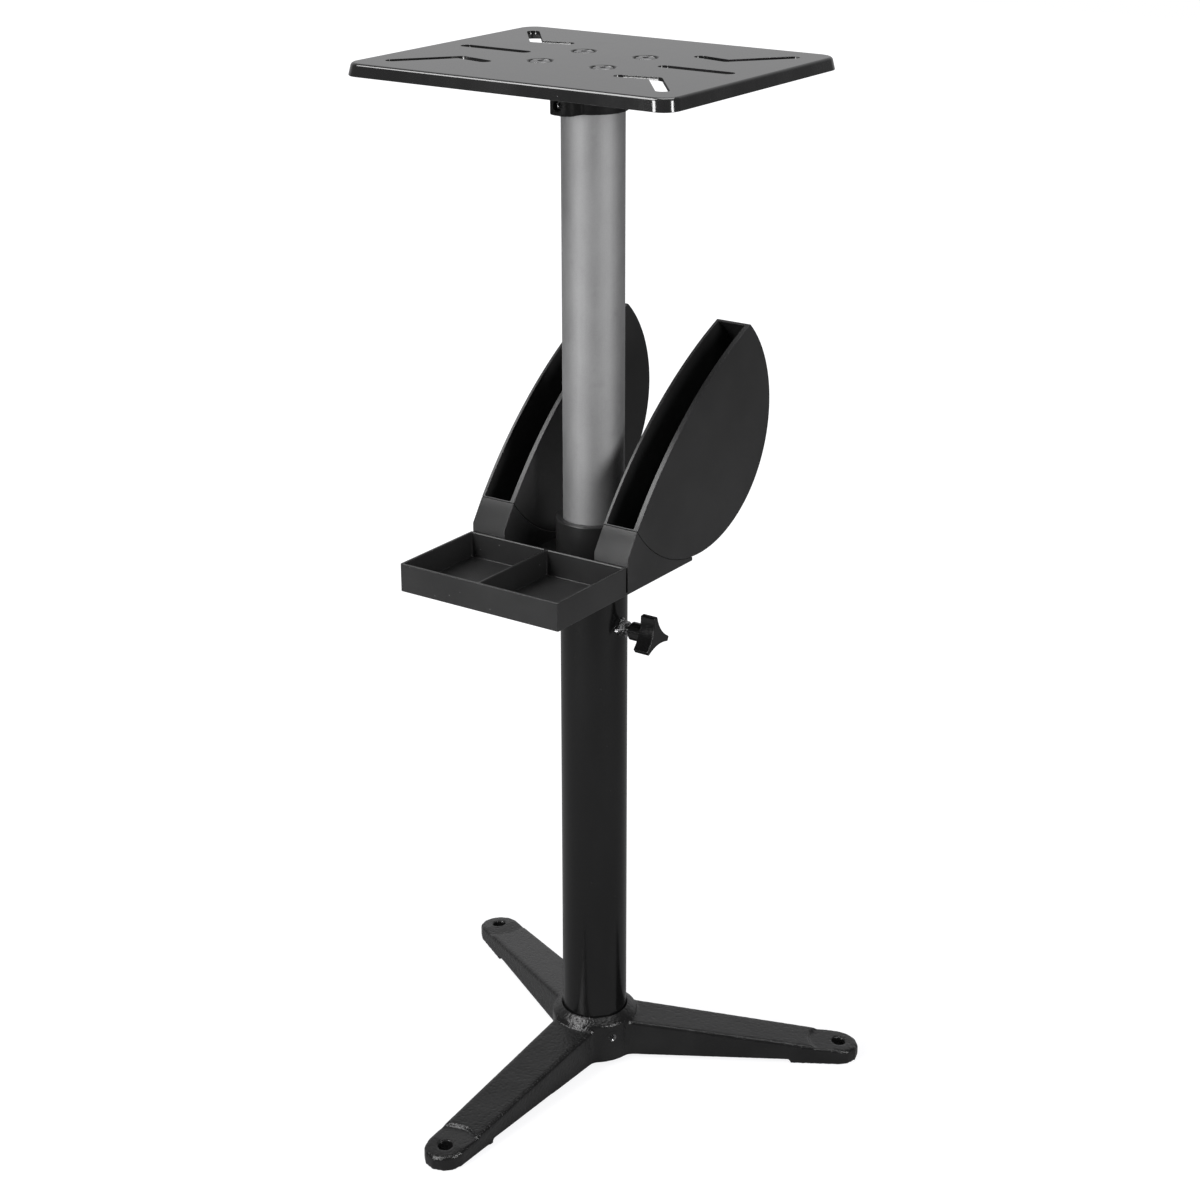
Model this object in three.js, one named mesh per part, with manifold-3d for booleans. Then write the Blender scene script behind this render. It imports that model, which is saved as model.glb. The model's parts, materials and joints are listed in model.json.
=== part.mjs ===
// Bench grinder stand: a cast three-legged base, a telescopic column held by a knob clamp, a slotted
// steel table, and a moulded tool tray round the column that carries two crescent wheel pockets.
// Millimetres, +Z up. The origin is on the floor, on the column's axis. The tray faces -Y.

import * as THREE from 'three';
import { mergeVertices } from 'three/addons/utils/BufferGeometryUtils.js';
import Module from 'manifold-3d';

const wasm = await Module();
wasm.setup();

// Fits
const SEAT_GAP = 0.3;
const TUBE_RUN_GAP = 0.5;

// Column tubes
const OUTER_TUBE_DIAMETER = 60;
const OUTER_TUBE_WALL = 2.5;
const OUTER_TUBE_LENGTH = 526;
const INNER_TUBE_WALL = 2;
const INNER_TUBE_LENGTH = 595;

// Base casting
const LEG_ANGLES = [-90, 30, 150];
const HUB_WALL = 9.7;
const HUB_RIM_HEIGHT = 43;
const HUB_RIM_ROUND = 1.5;
const HUB_NECK_HEIGHT = 48;
const HUB_NECK_LAND = 1.2;
const HUB_SEAT_HEIGHT = 8;
const HUB_SEAT_LEDGE = 5;
const LEG_ROOT_RADIUS = 22.5;
const LEG_ROOT_HEIGHT = 38.2;
const LEG_FALL = 0.121;
const LEG_FILLET = 10;
const LEG_EDGE_ROUND = 3;
const LEG_WALL = 6;
const LEG_ROOF = 7;
const LEG_HOLLOW_START = 62;
const FOOT_REACH = 232;
const FOOT_RADIUS = 19;
const FOOT_HEIGHT = 15.4;
const FOOT_SPOT_RADIUS = 28.5;
const FOOT_HOLE_DIAMETER = 12.7;
const FOOT_PAD_LENGTH = 45;
const FOOT_PAD_DROP = 3;
const FOOT_HOLLOW_MARGIN = 24;

// Set screws in the hub and in the flange lug
const SET_SCREW_DIAMETER = 8;
const SET_SCREW_SOCKET = 4;
const SET_SCREW_SOCKET_DEPTH = 4;
const SET_SCREW_CHAMFER = 1;
const HUB_SCREW_ANGLE = -30;
const HUB_SCREW_HEIGHT = 28.7;
const HUB_SCREW_LENGTH = 8;
const HUB_SCREW_COUNTERSINK = 1.3;
const FLANGE_SCREW_LENGTH = 13;
const FLANGE_SCREW_RISE = 8.5;

// Height clamp
const CLAMP_DROP = 97;
const STUD_DIAMETER = 8;
const STUD_CHAMFER = 1;
const STUD_EMBED = 18;
const CLAMP_NUT_ACROSS = 13;
const CLAMP_NUT_HEIGHT = 6.5;
const WELD_BEAD_LENGTH = 5;
const WELD_BEAD_RADIUS = 2.4;
const WELD_BEAD_ANGLES = [180, 90, -90];
const KNOB_STANDOFF = 11;
const KNOB_BOSS_DIAMETER = 16.6;
const KNOB_BOSS_LENGTH = 12;
const KNOB_LOBES = 3;
const KNOB_LOBE_RADIUS = 19.2;
const KNOB_LOBE_DEPTH = 15;
const KNOB_TIP_WIDTH = 5;
const KNOB_WAIST_PULL = 4.8;
const KNOB_EDGE_ROUND = 0.8;
const KNOB_TURN = 7.7;

// Table plate
const TABLE_HEIGHT = 933;
const TABLE_WIDTH = 320;
const TABLE_DEPTH = 262;
const TABLE_CORNER_RADIUS = 16;
const TABLE_EDGE_RADIUS = 4;
const TABLE_SHEET = 3;
const TABLE_RIM = 10.5;
const TABLE_FLARE = 2;
const SLOT_WIDTH = 11;
const SLOT_INNER_X = 67;
const SLOT_INNER_Y = 59;
const SLOT_ELBOW_X = 96;
const SLOT_ELBOW_Y = 53;
const SLOT_TIP_X = 132;
const SLOT_TIP_Y = 98;
const SIDE_SLOT_INNER_X = 70;
const SIDE_SLOT_OUTER_X = 130;

// Screws that join the table to its flange
const SCREW_SPACING = 62;
const SCREW_DIAMETER = 6;
const SCREW_HEAD_DIAMETER = 11;
const SCREW_HEAD_HEIGHT = 2.6;
const SCREW_HEAD_EDGE = 1.4;
const SCREW_TAIL = 2.5;
const SCREW_NUT_ACROSS = 10;
const SCREW_NUT_HEIGHT = 5;
const DIMPLE_DEPTH = 3;
const DIMPLE_TOP_RADIUS = 12;
const DIMPLE_FLOOR_RADIUS = 7.5;
const DIMPLE_SPREAD = 1.5;

// Table flange
const FLANGE_RADIUS = 56;
const FLANGE_THICKNESS = 6;
const FLANGE_SOCKET_DEPTH = 35;
const FLANGE_SOCKET_WALL = 2.4;
const FLANGE_SHOULDER = 3;
const FLANGE_SHOULDER_LEDGE = 5;
const FLANGE_FILLET = 5;
const LUG_ANGLE = -98;
const LUG_WIDTH = 25;
const LUG_REACH = 44;
const LUG_ROUND = 9;

// Tool tray moulding
const TRAY_WIDTH = 164;
const TRAY_FRONT = 169.4;
const TRAY_BACK = 70;
const TRAY_RIM = 25;
const TRAY_WALL = 2.5;
const TRAY_CORNER_RADIUS = 1.5;
const COLLAR_HEIGHT = 35.5;
const COLLAR_LIP = 3;
const COLLAR_WALL = 3.2;
const COLLAR_ROUND = 1.2;
const SADDLE_SLIT = 2;
const SADDLE_KNEE = 31.9;

// Wheel pockets, as seen from the side: a wheel-sized back arc, a flatter lower arc and a bowed rim
const POCKET_WIDTH = 34.7;
const POCKET_WALL = 2.7;
const POCKET_RIGHT_CHEEK = 4.5;
const POCKET_LIP = 1;
const POCKET_THINNING_ANGLE = -112;
const POCKET_BACK_RADIUS = 107;
const POCKET_CENTRE_Y = 52.6;
const POCKET_CENTRE_RISE = 113.2;
const POCKET_TIP_ANGLE = 48.5;
const POCKET_BLEND_ANGLE = -52.7;
const POCKET_LOWER_RADIUS = 121.5;
const POCKET_FRONT_ANGLE = -143.5;
const POCKET_RIM_RADIUS = 434;
const TONGUE_DEPTH = 9;
const TONGUE_THICKNESS = 2;
const TONGUE_FRONT_ANGLE = -135;
const TONGUE_BACK_ANGLE = -114;

// Facets
const ROUND_STEPS = 56;
const SMALL_STEPS = 20;
const ARC_STEPS = 8;
const CORNER_STEPS = 3;
const EDGE_STEPS = 3;
const BEAD_ROUND_STEPS = 10;
const BEAD_HEIGHT_STEPS = 5;
const CUT_MARGIN = 1;
const MERGE_DISTANCE = 1e-4;

// Places worked out from the sizes above
const outerTubeRadius = OUTER_TUBE_DIAMETER / 2;
const outerTubeBore = outerTubeRadius - OUTER_TUBE_WALL;
const outerTubeTop = HUB_SEAT_HEIGHT + OUTER_TUBE_LENGTH;
const innerTubeRadius = outerTubeBore - TUBE_RUN_GAP;
const tubeSocket = outerTubeRadius + SEAT_GAP;
const flangeSocket = innerTubeRadius + SEAT_GAP;
const hubRadius = tubeSocket + HUB_WALL;
const footEnd = FOOT_REACH + FOOT_RADIUS;
const clampHeight = outerTubeTop - CLAMP_DROP;
const studRadius = STUD_DIAMETER / 2;
const knobBack = outerTubeRadius + KNOB_STANDOFF;
const setScrewRadius = SET_SCREW_DIAMETER / 2;
const screwRadius = SCREW_DIAMETER / 2;
const flangeTop = -TABLE_SHEET - DIMPLE_DEPTH;
const flangeBottom = flangeTop - FLANGE_THICKNESS;
const socketBottom = flangeTop - FLANGE_SOCKET_DEPTH;
const innerTubeTop = TABLE_HEIGHT + flangeTop - FLANGE_SHOULDER;
const collarRadius = tubeSocket + COLLAR_WALL;
const trayBottom = outerTubeTop + COLLAR_LIP - COLLAR_HEIGHT;
const saddleFront = -TRAY_BACK + SADDLE_SLIT;
const pocketInnerX = TRAY_WIDTH / 2 - POCKET_WIDTH;

const radians = THREE.MathUtils.degToRad;

// Solids

function solid(geometry) {
  const bare = geometry.clone();
  bare.deleteAttribute('normal');
  bare.deleteAttribute('uv');
  const merged = mergeVertices(bare, MERGE_DISTANCE);
  const corners = merged.index.array;
  const kept = [];
  for (let i = 0; i < corners.length; i += 3) {
    const [a, b, c] = corners.subarray(i, i + 3);
    if (a !== b && b !== c && c !== a) kept.push(a, b, c);
  }
  return new wasm.Manifold(new wasm.Mesh({
    numProp: 3,
    vertProperties: new Float32Array(merged.attributes.position.array),
    triVerts: new Uint32Array(kept),
  }));
}

function surface(body) {
  const { vertProperties, triVerts } = body.getMesh();
  const geometry = new THREE.BufferGeometry();
  geometry.setAttribute('position', new THREE.BufferAttribute(new Float32Array(vertProperties), 3));
  geometry.setIndex(new THREE.BufferAttribute(new Uint32Array(triVerts), 1));
  geometry.computeVertexNormals();
  return geometry;
}

const fuse = (...bodies) => bodies.reduce((whole, body) => whole.add(body));
const cut = (body, ...tools) => tools.reduce((rest, tool) => rest.subtract(tool), body);

// A body of revolution about Z from a closed outline of [radius, height] points.
function turned(outline, steps = ROUND_STEPS) {
  const points = outline.map(([radius, height]) => new THREE.Vector2(radius, height));
  const upward = THREE.ShapeUtils.isClockWise(points) ? points.reverse() : points;
  const geometry = new THREE.LatheGeometry([...upward, upward[0]], steps);
  return solid(geometry.rotateX(Math.PI / 2));
}

const tube = (outer, inner, bottom, top) =>
  turned([[inner, bottom], [outer, bottom], [outer, top], [inner, top]]);

const disc = (radius, bottom, top, steps = SMALL_STEPS) =>
  turned([[0, bottom], [radius, bottom], [radius, top], [0, top]], steps);

// A shape drawn in X and Y, raised from bottom to top.
function raised(shape, bottom, top) {
  const geometry = new THREE.ExtrudeGeometry(shape, {
    depth: top - bottom,
    bevelEnabled: false,
    curveSegments: CORNER_STEPS,
  });
  return solid(geometry.translate(0, 0, bottom));
}

// A shape drawn in Y and Z, carried across from left to right along X.
function across(shape, left, right) {
  const geometry = new THREE.ExtrudeGeometry(shape, {
    depth: right - left,
    bevelEnabled: false,
    curveSegments: ARC_STEPS,
  });
  const sideways = new THREE.Matrix4().makeBasis(
    new THREE.Vector3(0, 1, 0), new THREE.Vector3(0, 0, 1), new THREE.Vector3(1, 0, 0));
  return solid(geometry.applyMatrix4(sideways).translate(left, 0, 0));
}

// A shape drawn in X and Y whose top, at zero, has a rounded edge and falls along X by the given slope.
// It reaches down past the given depth, so that its foot can be cut flat.
function crowned(shape, depth, edge, fall = 0) {
  const geometry = new THREE.ExtrudeGeometry(shape, {
    depth,
    bevelThickness: edge,
    bevelSize: edge,
    bevelOffset: -edge,
    bevelSegments: EDGE_STEPS,
    curveSegments: CORNER_STEPS,
  });
  geometry.translate(0, 0, -depth - edge);
  const slope = new THREE.Matrix4().set(1, 0, 0, 0, 0, 1, 0, 0, -fall, 0, 1, 0, 0, 0, 0, 1);
  return solid(geometry.applyMatrix4(slope));
}

function block(left, right, front, back, bottom, top) {
  const geometry = new THREE.BoxGeometry(right - left, back - front, top - bottom);
  return solid(geometry.translate((left + right) / 2, (front + back) / 2, (bottom + top) / 2));
}

// A bar along the given direction in the horizontal plane, between two distances from the Z axis.
function radialBar(radius, angle, height, near, far, farRadius = radius) {
  const geometry = new THREE.CylinderGeometry(farRadius, radius, far - near, SMALL_STEPS);
  geometry.translate(0, (near + far) / 2, 0).rotateZ(radians(angle) - Math.PI / 2);
  return solid(geometry.translate(0, 0, height));
}

function roundedRectangle(left, right, front, back, radius) {
  const shape = new THREE.Shape();
  shape.absarc(right - radius, back - radius, radius, 0, Math.PI / 2);
  shape.absarc(left + radius, back - radius, radius, Math.PI / 2, Math.PI);
  shape.absarc(left + radius, front + radius, radius, Math.PI, 3 * Math.PI / 2);
  shape.absarc(right - radius, front + radius, radius, 3 * Math.PI / 2, 2 * Math.PI);
  return shape;
}

const hexagonCorner = (acrossFlats) => acrossFlats / Math.sqrt(3);

function hexagon(acrossFlats) {
  const sides = 6;
  const corner = hexagonCorner(acrossFlats);
  const points = Array.from({ length: sides }, (_, i) => {
    const angle = (2 * i + 1) * Math.PI / sides;
    return new THREE.Vector2(corner * Math.cos(angle), corner * Math.sin(angle));
  });
  return new THREE.Shape(points);
}

// Two circles on the X axis and their outer tangents.
function taperedBar(startX, startRadius, endX, endRadius) {
  const lean = Math.asin((startRadius - endRadius) / (endX - startX));
  const shape = new THREE.Shape();
  shape.absarc(endX, 0, endRadius, lean - Math.PI / 2, Math.PI / 2 - lean);
  shape.absarc(startX, 0, startRadius, Math.PI / 2 - lean, 3 * Math.PI / 2 + lean);
  return shape;
}

const slot = (from, to, width) => {
  const start = new THREE.Vector2(...from);
  const reach = new THREE.Vector2(...to).sub(start);
  const bar = taperedBar(0, width / 2, reach.length(), width / 2);
  const geometry = new THREE.ExtrudeGeometry(bar, {
    depth: TABLE_SHEET + 2 * CUT_MARGIN,
    bevelEnabled: false,
    curveSegments: CORNER_STEPS,
  });
  geometry.rotateZ(reach.angle()).translate(start.x, start.y, -TABLE_SHEET - CUT_MARGIN);
  return solid(geometry);
};

// Base casting: a hub with a coned top and three hollow legs that run out to flat bolt feet

// One leg seen from above: tapered sides that flow into the hub, and a round foot.
function legOutline() {
  const lean = Math.asin((LEG_ROOT_RADIUS - FOOT_RADIUS) / FOOT_REACH);
  const offset = LEG_ROOT_RADIUS + LEG_FILLET;
  const along = Math.sqrt((hubRadius + LEG_FILLET) ** 2 - offset ** 2);
  const centre = new THREE.Vector2(along, offset).rotateAround(new THREE.Vector2(), -lean);
  const towardsHub = Math.PI + centre.angle();
  const towardsSide = -Math.PI / 2 - lean;
  const root = centre.clone().setLength(outerTubeRadius);
  const shape = new THREE.Shape();
  shape.absarc(FOOT_REACH, 0, FOOT_RADIUS, lean - Math.PI / 2, Math.PI / 2 - lean);
  shape.absarc(centre.x, centre.y, LEG_FILLET, towardsSide, towardsHub - 2 * Math.PI, true);
  shape.lineTo(root.x, root.y);
  shape.lineTo(root.x, -root.y);
  shape.absarc(centre.x, -centre.y, LEG_FILLET, 2 * Math.PI - towardsHub, -towardsSide, true);
  return shape;
}

function leg() {
  const topAtAxis = LEG_ROOT_HEIGHT + LEG_FALL * hubRadius;
  const depth = topAtAxis + LEG_FALL * footEnd;
  const lift = new THREE.Matrix4().makeTranslation(0, 0, topAtAxis).elements;
  const body = crowned(legOutline(), depth, LEG_EDGE_ROUND, LEG_FALL).transform(lift);
  const hollowEnd = FOOT_REACH - FOOT_PAD_LENGTH - FOOT_HOLLOW_MARGIN;
  const widthAt = (x) => LEG_ROOT_RADIUS + (FOOT_RADIUS - LEG_ROOT_RADIUS) * x / FOOT_REACH;
  const hollowShape = taperedBar(
    LEG_HOLLOW_START, widthAt(LEG_HOLLOW_START) - LEG_WALL, hollowEnd, widthAt(hollowEnd) - LEG_WALL);
  const sink = new THREE.Matrix4().makeTranslation(0, 0, topAtAxis - LEG_ROOF).elements;
  const hollow = crowned(hollowShape, depth, LEG_EDGE_ROUND, LEG_FALL).transform(sink);
  const wide = hubRadius + LEG_FILLET;
  const under = -depth;
  const spot = disc(FOOT_SPOT_RADIUS, FOOT_HEIGHT, topAtAxis);
  const hole = disc(FOOT_HOLE_DIAMETER / 2, -CUT_MARGIN, FOOT_HEIGHT + CUT_MARGIN);
  const atFoot = new THREE.Matrix4().makeTranslation(FOOT_REACH, 0, 0).elements;
  return cut(
    body,
    block(0, footEnd + CUT_MARGIN, -wide, wide, 2 * under, 0),
    block(0, FOOT_REACH - FOOT_PAD_LENGTH, -wide, wide, under, FOOT_PAD_DROP),
    hollow,
    spot.transform(atFoot),
    hole.transform(atFoot));
}

function baseCasting() {
  const seatHole = outerTubeRadius - HUB_SEAT_LEDGE;
  const hub = turned([
    [seatHole, FOOT_PAD_DROP],
    [hubRadius, FOOT_PAD_DROP],
    [hubRadius, HUB_RIM_HEIGHT - HUB_RIM_ROUND],
    [hubRadius - HUB_RIM_ROUND, HUB_RIM_HEIGHT],
    [tubeSocket + HUB_NECK_LAND, HUB_NECK_HEIGHT],
    [tubeSocket, HUB_NECK_HEIGHT],
    [tubeSocket, HUB_SEAT_HEIGHT],
    [seatHole, HUB_SEAT_HEIGHT],
  ]);
  const legs = LEG_ANGLES.map((angle) =>
    leg().transform(new THREE.Matrix4().makeRotationZ(radians(angle)).elements));
  const holeRadius = setScrewRadius + SEAT_GAP;
  return cut(
    fuse(hub, ...legs),
    disc(tubeSocket, HUB_SEAT_HEIGHT, HUB_NECK_HEIGHT + CUT_MARGIN, ROUND_STEPS),
    disc(seatHole, 0, HUB_SEAT_HEIGHT + CUT_MARGIN, ROUND_STEPS),
    radialBar(holeRadius, HUB_SCREW_ANGLE, HUB_SCREW_HEIGHT, outerTubeRadius - CUT_MARGIN, hubRadius),
    radialBar(holeRadius, HUB_SCREW_ANGLE, HUB_SCREW_HEIGHT, hubRadius - HUB_SCREW_COUNTERSINK,
      hubRadius + HUB_SCREW_COUNTERSINK, holeRadius + 2 * HUB_SCREW_COUNTERSINK));
}

// A socket set screw along Z, its point at zero.
function setScrew(length) {
  const body = turned([
    [0, 0],
    [setScrewRadius - SET_SCREW_CHAMFER, 0],
    [setScrewRadius, SET_SCREW_CHAMFER],
    [setScrewRadius, length],
    [0, length],
  ], SMALL_STEPS);
  return cut(body, raised(hexagon(SET_SCREW_SOCKET), length - SET_SCREW_SOCKET_DEPTH, length + CUT_MARGIN));
}

// Column

function outerTube() {
  const wall = tube(outerTubeRadius, outerTubeBore, HUB_SEAT_HEIGHT, outerTubeTop);
  return cut(wall, radialBar(studRadius + SEAT_GAP, 0, clampHeight, 0, outerTubeRadius + CUT_MARGIN));
}

const innerTube = () =>
  tube(innerTubeRadius, innerTubeRadius - INNER_TUBE_WALL, innerTubeTop - INNER_TUBE_LENGTH, innerTubeTop);

// Height clamp, drawn with its axis along Z and the column along X

// A nut that sits on the tube, with a tack weld on three sides.
function clampNut() {
  const seat = outerTubeRadius + SEAT_GAP;
  const foot = Math.sqrt(outerTubeRadius ** 2 - hexagonCorner(CLAMP_NUT_ACROSS) ** 2);
  const nut = raised(hexagon(CLAMP_NUT_ACROSS), foot, seat + CLAMP_NUT_HEIGHT);
  const bead = (angle) => {
    const geometry = new THREE.SphereGeometry(WELD_BEAD_RADIUS, BEAD_ROUND_STEPS, BEAD_HEIGHT_STEPS);
    geometry.scale(1, WELD_BEAD_LENGTH / WELD_BEAD_RADIUS / 2, 1);
    geometry.translate(CLAMP_NUT_ACROSS / 2 + WELD_BEAD_RADIUS / 2, 0, 0).rotateZ(radians(angle));
    const reach = Math.abs(Math.sin(radians(angle))) * CLAMP_NUT_ACROSS / 2;
    return solid(geometry.translate(0, 0, Math.sqrt(seat ** 2 - reach ** 2)));
  };
  const column = new THREE.CylinderGeometry(seat, seat, OUTER_TUBE_DIAMETER, ROUND_STEPS);
  column.rotateZ(Math.PI / 2);
  const bore = disc(studRadius + SEAT_GAP, 0, knobBack);
  return cut(fuse(nut, ...WELD_BEAD_ANGLES.map(bead)), solid(column), bore);
}

function clampStud() {
  const tip = innerTubeRadius + SEAT_GAP;
  const end = knobBack + STUD_EMBED - SEAT_GAP;
  return turned([
    [0, tip],
    [studRadius - STUD_CHAMFER, tip],
    [studRadius, tip + STUD_CHAMFER],
    [studRadius, end],
    [0, end],
  ], SMALL_STEPS);
}

// Three lobes with narrow tips and hollow sides, on a round boss.
function clampKnob() {
  const pitch = 2 * Math.PI / KNOB_LOBES;
  const tipSpread = Math.asin(KNOB_TIP_WIDTH / 2 / KNOB_LOBE_RADIUS);
  const at = (radius, angle) => [radius * Math.cos(angle), radius * Math.sin(angle)];
  const lobes = Array.from({ length: KNOB_LOBES }, (_, i) => i * pitch);
  const tipStarts = lobes.map((lobe) => at(KNOB_LOBE_RADIUS, lobe - tipSpread));
  const shape = new THREE.Shape();
  shape.moveTo(...tipStarts[0]);
  lobes.forEach((lobe, i) => {
    shape.lineTo(...at(KNOB_LOBE_RADIUS, lobe + tipSpread));
    shape.quadraticCurveTo(
      ...at(KNOB_WAIST_PULL, lobe + pitch / 2), ...tipStarts[(i + 1) % KNOB_LOBES]);
  });
  const lobesBack = knobBack + KNOB_BOSS_LENGTH;
  const geometry = new THREE.ExtrudeGeometry(shape, {
    depth: KNOB_LOBE_DEPTH - 2 * KNOB_EDGE_ROUND,
    bevelThickness: KNOB_EDGE_ROUND,
    bevelSize: KNOB_EDGE_ROUND,
    bevelOffset: -KNOB_EDGE_ROUND,
    bevelSegments: EDGE_STEPS,
    curveSegments: ARC_STEPS,
  });
  geometry.rotateZ(Math.PI + radians(KNOB_TURN)).translate(0, 0, lobesBack + KNOB_EDGE_ROUND);
  const boss = disc(KNOB_BOSS_DIAMETER / 2, knobBack, lobesBack + KNOB_LOBE_DEPTH / 2);
  return cut(
    fuse(solid(geometry), boss),
    disc(studRadius + SEAT_GAP, knobBack - CUT_MARGIN, knobBack + STUD_EMBED));
}

// Table, drawn with its top at zero

const screwPlaces = [[-1, -1], [1, -1], [-1, 1], [1, 1]].map(([x, y]) =>
  new THREE.Vector3(x, y, 0).multiplyScalar(SCREW_SPACING / 2));

const atEachScrew = (body) => screwPlaces.map((place) => body.translate(place.toArray()));

// A pressed pan whose rim leans outward from its rounded top edge, with slots and screw dimples.
function tablePlate() {
  const halfWidth = TABLE_WIDTH / 2 - TABLE_FLARE;
  const halfDepth = TABLE_DEPTH / 2 - TABLE_FLARE;
  const panDepth = TABLE_RIM + TABLE_EDGE_RADIUS;
  const below = block(
    -TABLE_WIDTH, TABLE_WIDTH, -TABLE_DEPTH, TABLE_DEPTH, -TABLE_RIM - 2 * panDepth, -TABLE_RIM);
  const lean = (point) => {
    const spread = -TABLE_FLARE * point[2] / TABLE_RIM;
    point[0] *= 1 + spread / halfWidth;
    point[1] *= 1 + spread / halfDepth;
  };
  const pan = (inset) => crowned(
    roundedRectangle(-halfWidth + inset, halfWidth - inset, -halfDepth + inset, halfDepth - inset,
      TABLE_CORNER_RADIUS - TABLE_FLARE - inset),
    panDepth, TABLE_EDGE_RADIUS - inset).translate([0, 0, -inset]).warp(lean);
  const bulge = turned([
    [0, -TABLE_SHEET / 2],
    [DIMPLE_TOP_RADIUS + DIMPLE_SPREAD, -TABLE_SHEET / 2],
    [DIMPLE_TOP_RADIUS + DIMPLE_SPREAD, -TABLE_SHEET],
    [DIMPLE_FLOOR_RADIUS + DIMPLE_SPREAD, flangeTop],
    [0, flangeTop],
  ], SMALL_STEPS);
  const dish = turned([
    [0, CUT_MARGIN],
    [DIMPLE_TOP_RADIUS, CUT_MARGIN],
    [DIMPLE_TOP_RADIUS, 0],
    [DIMPLE_FLOOR_RADIUS, -DIMPLE_DEPTH],
    [0, -DIMPLE_DEPTH],
  ], SMALL_STEPS);
  const hole = disc(screwRadius + SEAT_GAP, flangeTop - CUT_MARGIN, 0);
  const slots = [];
  for (const x of [-1, 1]) {
    slots.push(slot([x * SIDE_SLOT_INNER_X, 0], [x * SIDE_SLOT_OUTER_X, 0], SLOT_WIDTH));
    for (const y of [-1, 1]) {
      const elbow = [x * SLOT_ELBOW_X, y * SLOT_ELBOW_Y];
      slots.push(slot([x * SLOT_INNER_X, y * SLOT_INNER_Y], elbow, SLOT_WIDTH));
      slots.push(slot(elbow, [x * SLOT_TIP_X, y * SLOT_TIP_Y], SLOT_WIDTH));
    }
  }
  const sheet = fuse(cut(pan(0), pan(TABLE_SHEET), below), ...atEachScrew(bulge));
  return cut(sheet, ...atEachScrew(dish), ...atEachScrew(hole), ...slots);
}

// A socket for the tube, opening into a round flange, with a lug for the set screw at the front.
function tableFlange() {
  const socketOutside = flangeSocket + FLANGE_SOCKET_WALL;
  const shoulderHole = innerTubeRadius - FLANGE_SHOULDER_LEDGE;
  const fillet = Array.from({ length: EDGE_STEPS + 1 }, (_, i) => {
    const angle = i / EDGE_STEPS * Math.PI / 2;
    return [
      socketOutside + FLANGE_FILLET * (1 - Math.cos(angle)),
      flangeBottom - FLANGE_FILLET * (1 - Math.sin(angle)),
    ];
  });
  const shoulder = flangeTop - FLANGE_SHOULDER;
  const body = turned([
    [flangeSocket, socketBottom],
    [socketOutside, socketBottom],
    ...fillet,
    [FLANGE_RADIUS, flangeBottom],
    [FLANGE_RADIUS, flangeTop],
    [shoulderHole, flangeTop],
    [shoulderHole, shoulder],
    [flangeSocket, shoulder],
  ]);
  const lugShape = roundedRectangle(0, LUG_REACH, -LUG_WIDTH / 2, LUG_WIDTH / 2, LUG_ROUND);
  const lug = raised(lugShape, socketBottom, flangeBottom + FLANGE_THICKNESS / 2)
    .transform(new THREE.Matrix4().makeRotationZ(radians(LUG_ANGLE)).elements);
  const screwHole = radialBar(
    setScrewRadius + SEAT_GAP, LUG_ANGLE, socketBottom + FLANGE_SCREW_RISE, 0, LUG_REACH + CUT_MARGIN);
  return cut(
    fuse(body, lug),
    disc(flangeSocket, socketBottom - CUT_MARGIN, shoulder, ROUND_STEPS),
    screwHole,
    ...atEachScrew(disc(screwRadius + SEAT_GAP, flangeBottom - CUT_MARGIN, flangeTop + CUT_MARGIN)));
}

function tableScrew() {
  const seat = -DIMPLE_DEPTH;
  const end = flangeBottom - SCREW_NUT_HEIGHT - SCREW_TAIL;
  const headRadius = SCREW_HEAD_DIAMETER / 2;
  const body = turned([
    [0, end],
    [screwRadius, end],
    [screwRadius, seat],
    [headRadius, seat],
    [headRadius, seat + SCREW_HEAD_EDGE],
    [headRadius - SCREW_HEAD_EDGE, seat + SCREW_HEAD_HEIGHT],
    [0, seat + SCREW_HEAD_HEIGHT],
  ], SMALL_STEPS);
  return cut(body, raised(hexagon(SET_SCREW_SOCKET), seat, CUT_MARGIN));
}

const tableNut = () => cut(
  raised(hexagon(SCREW_NUT_ACROSS), flangeBottom - SCREW_NUT_HEIGHT, flangeBottom),
  disc(screwRadius + SEAT_GAP, flangeBottom - SCREW_NUT_HEIGHT - CUT_MARGIN, flangeBottom + CUT_MARGIN));

// Tool tray moulding and wheel pockets, drawn with the moulding's underside at zero

const backCentre = new THREE.Vector2(POCKET_CENTRE_Y, POCKET_CENTRE_RISE);
const towards = (angle, distance) =>
  new THREE.Vector2(Math.cos(radians(angle)), Math.sin(radians(angle))).multiplyScalar(distance);
const lowerCentre = backCentre.clone().add(
  towards(POCKET_BLEND_ANGLE, POCKET_BACK_RADIUS - POCKET_LOWER_RADIUS));
const pocketTip = backCentre.clone().add(towards(POCKET_TIP_ANGLE, POCKET_BACK_RADIUS));
const pocketFront = lowerCentre.clone().add(towards(POCKET_FRONT_ANGLE, POCKET_LOWER_RADIUS));

// A saddle's side view: a straight front, a slanted strip and a top that follows the pocket's lower arc.
function saddleOutline() {
  const radius = POCKET_LOWER_RADIUS + SEAT_GAP;
  const back = collarRadius;
  const backAngle = -Math.acos((back - lowerCentre.x) / radius);
  const shape = new THREE.Shape();
  shape.moveTo(back, 0);
  shape.absarc(lowerCentre.x, lowerCentre.y, radius, backAngle, radians(POCKET_FRONT_ANGLE), true);
  shape.lineTo(saddleFront, SADDLE_KNEE);
  shape.lineTo(saddleFront, 0);
  return shape;
}

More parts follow.
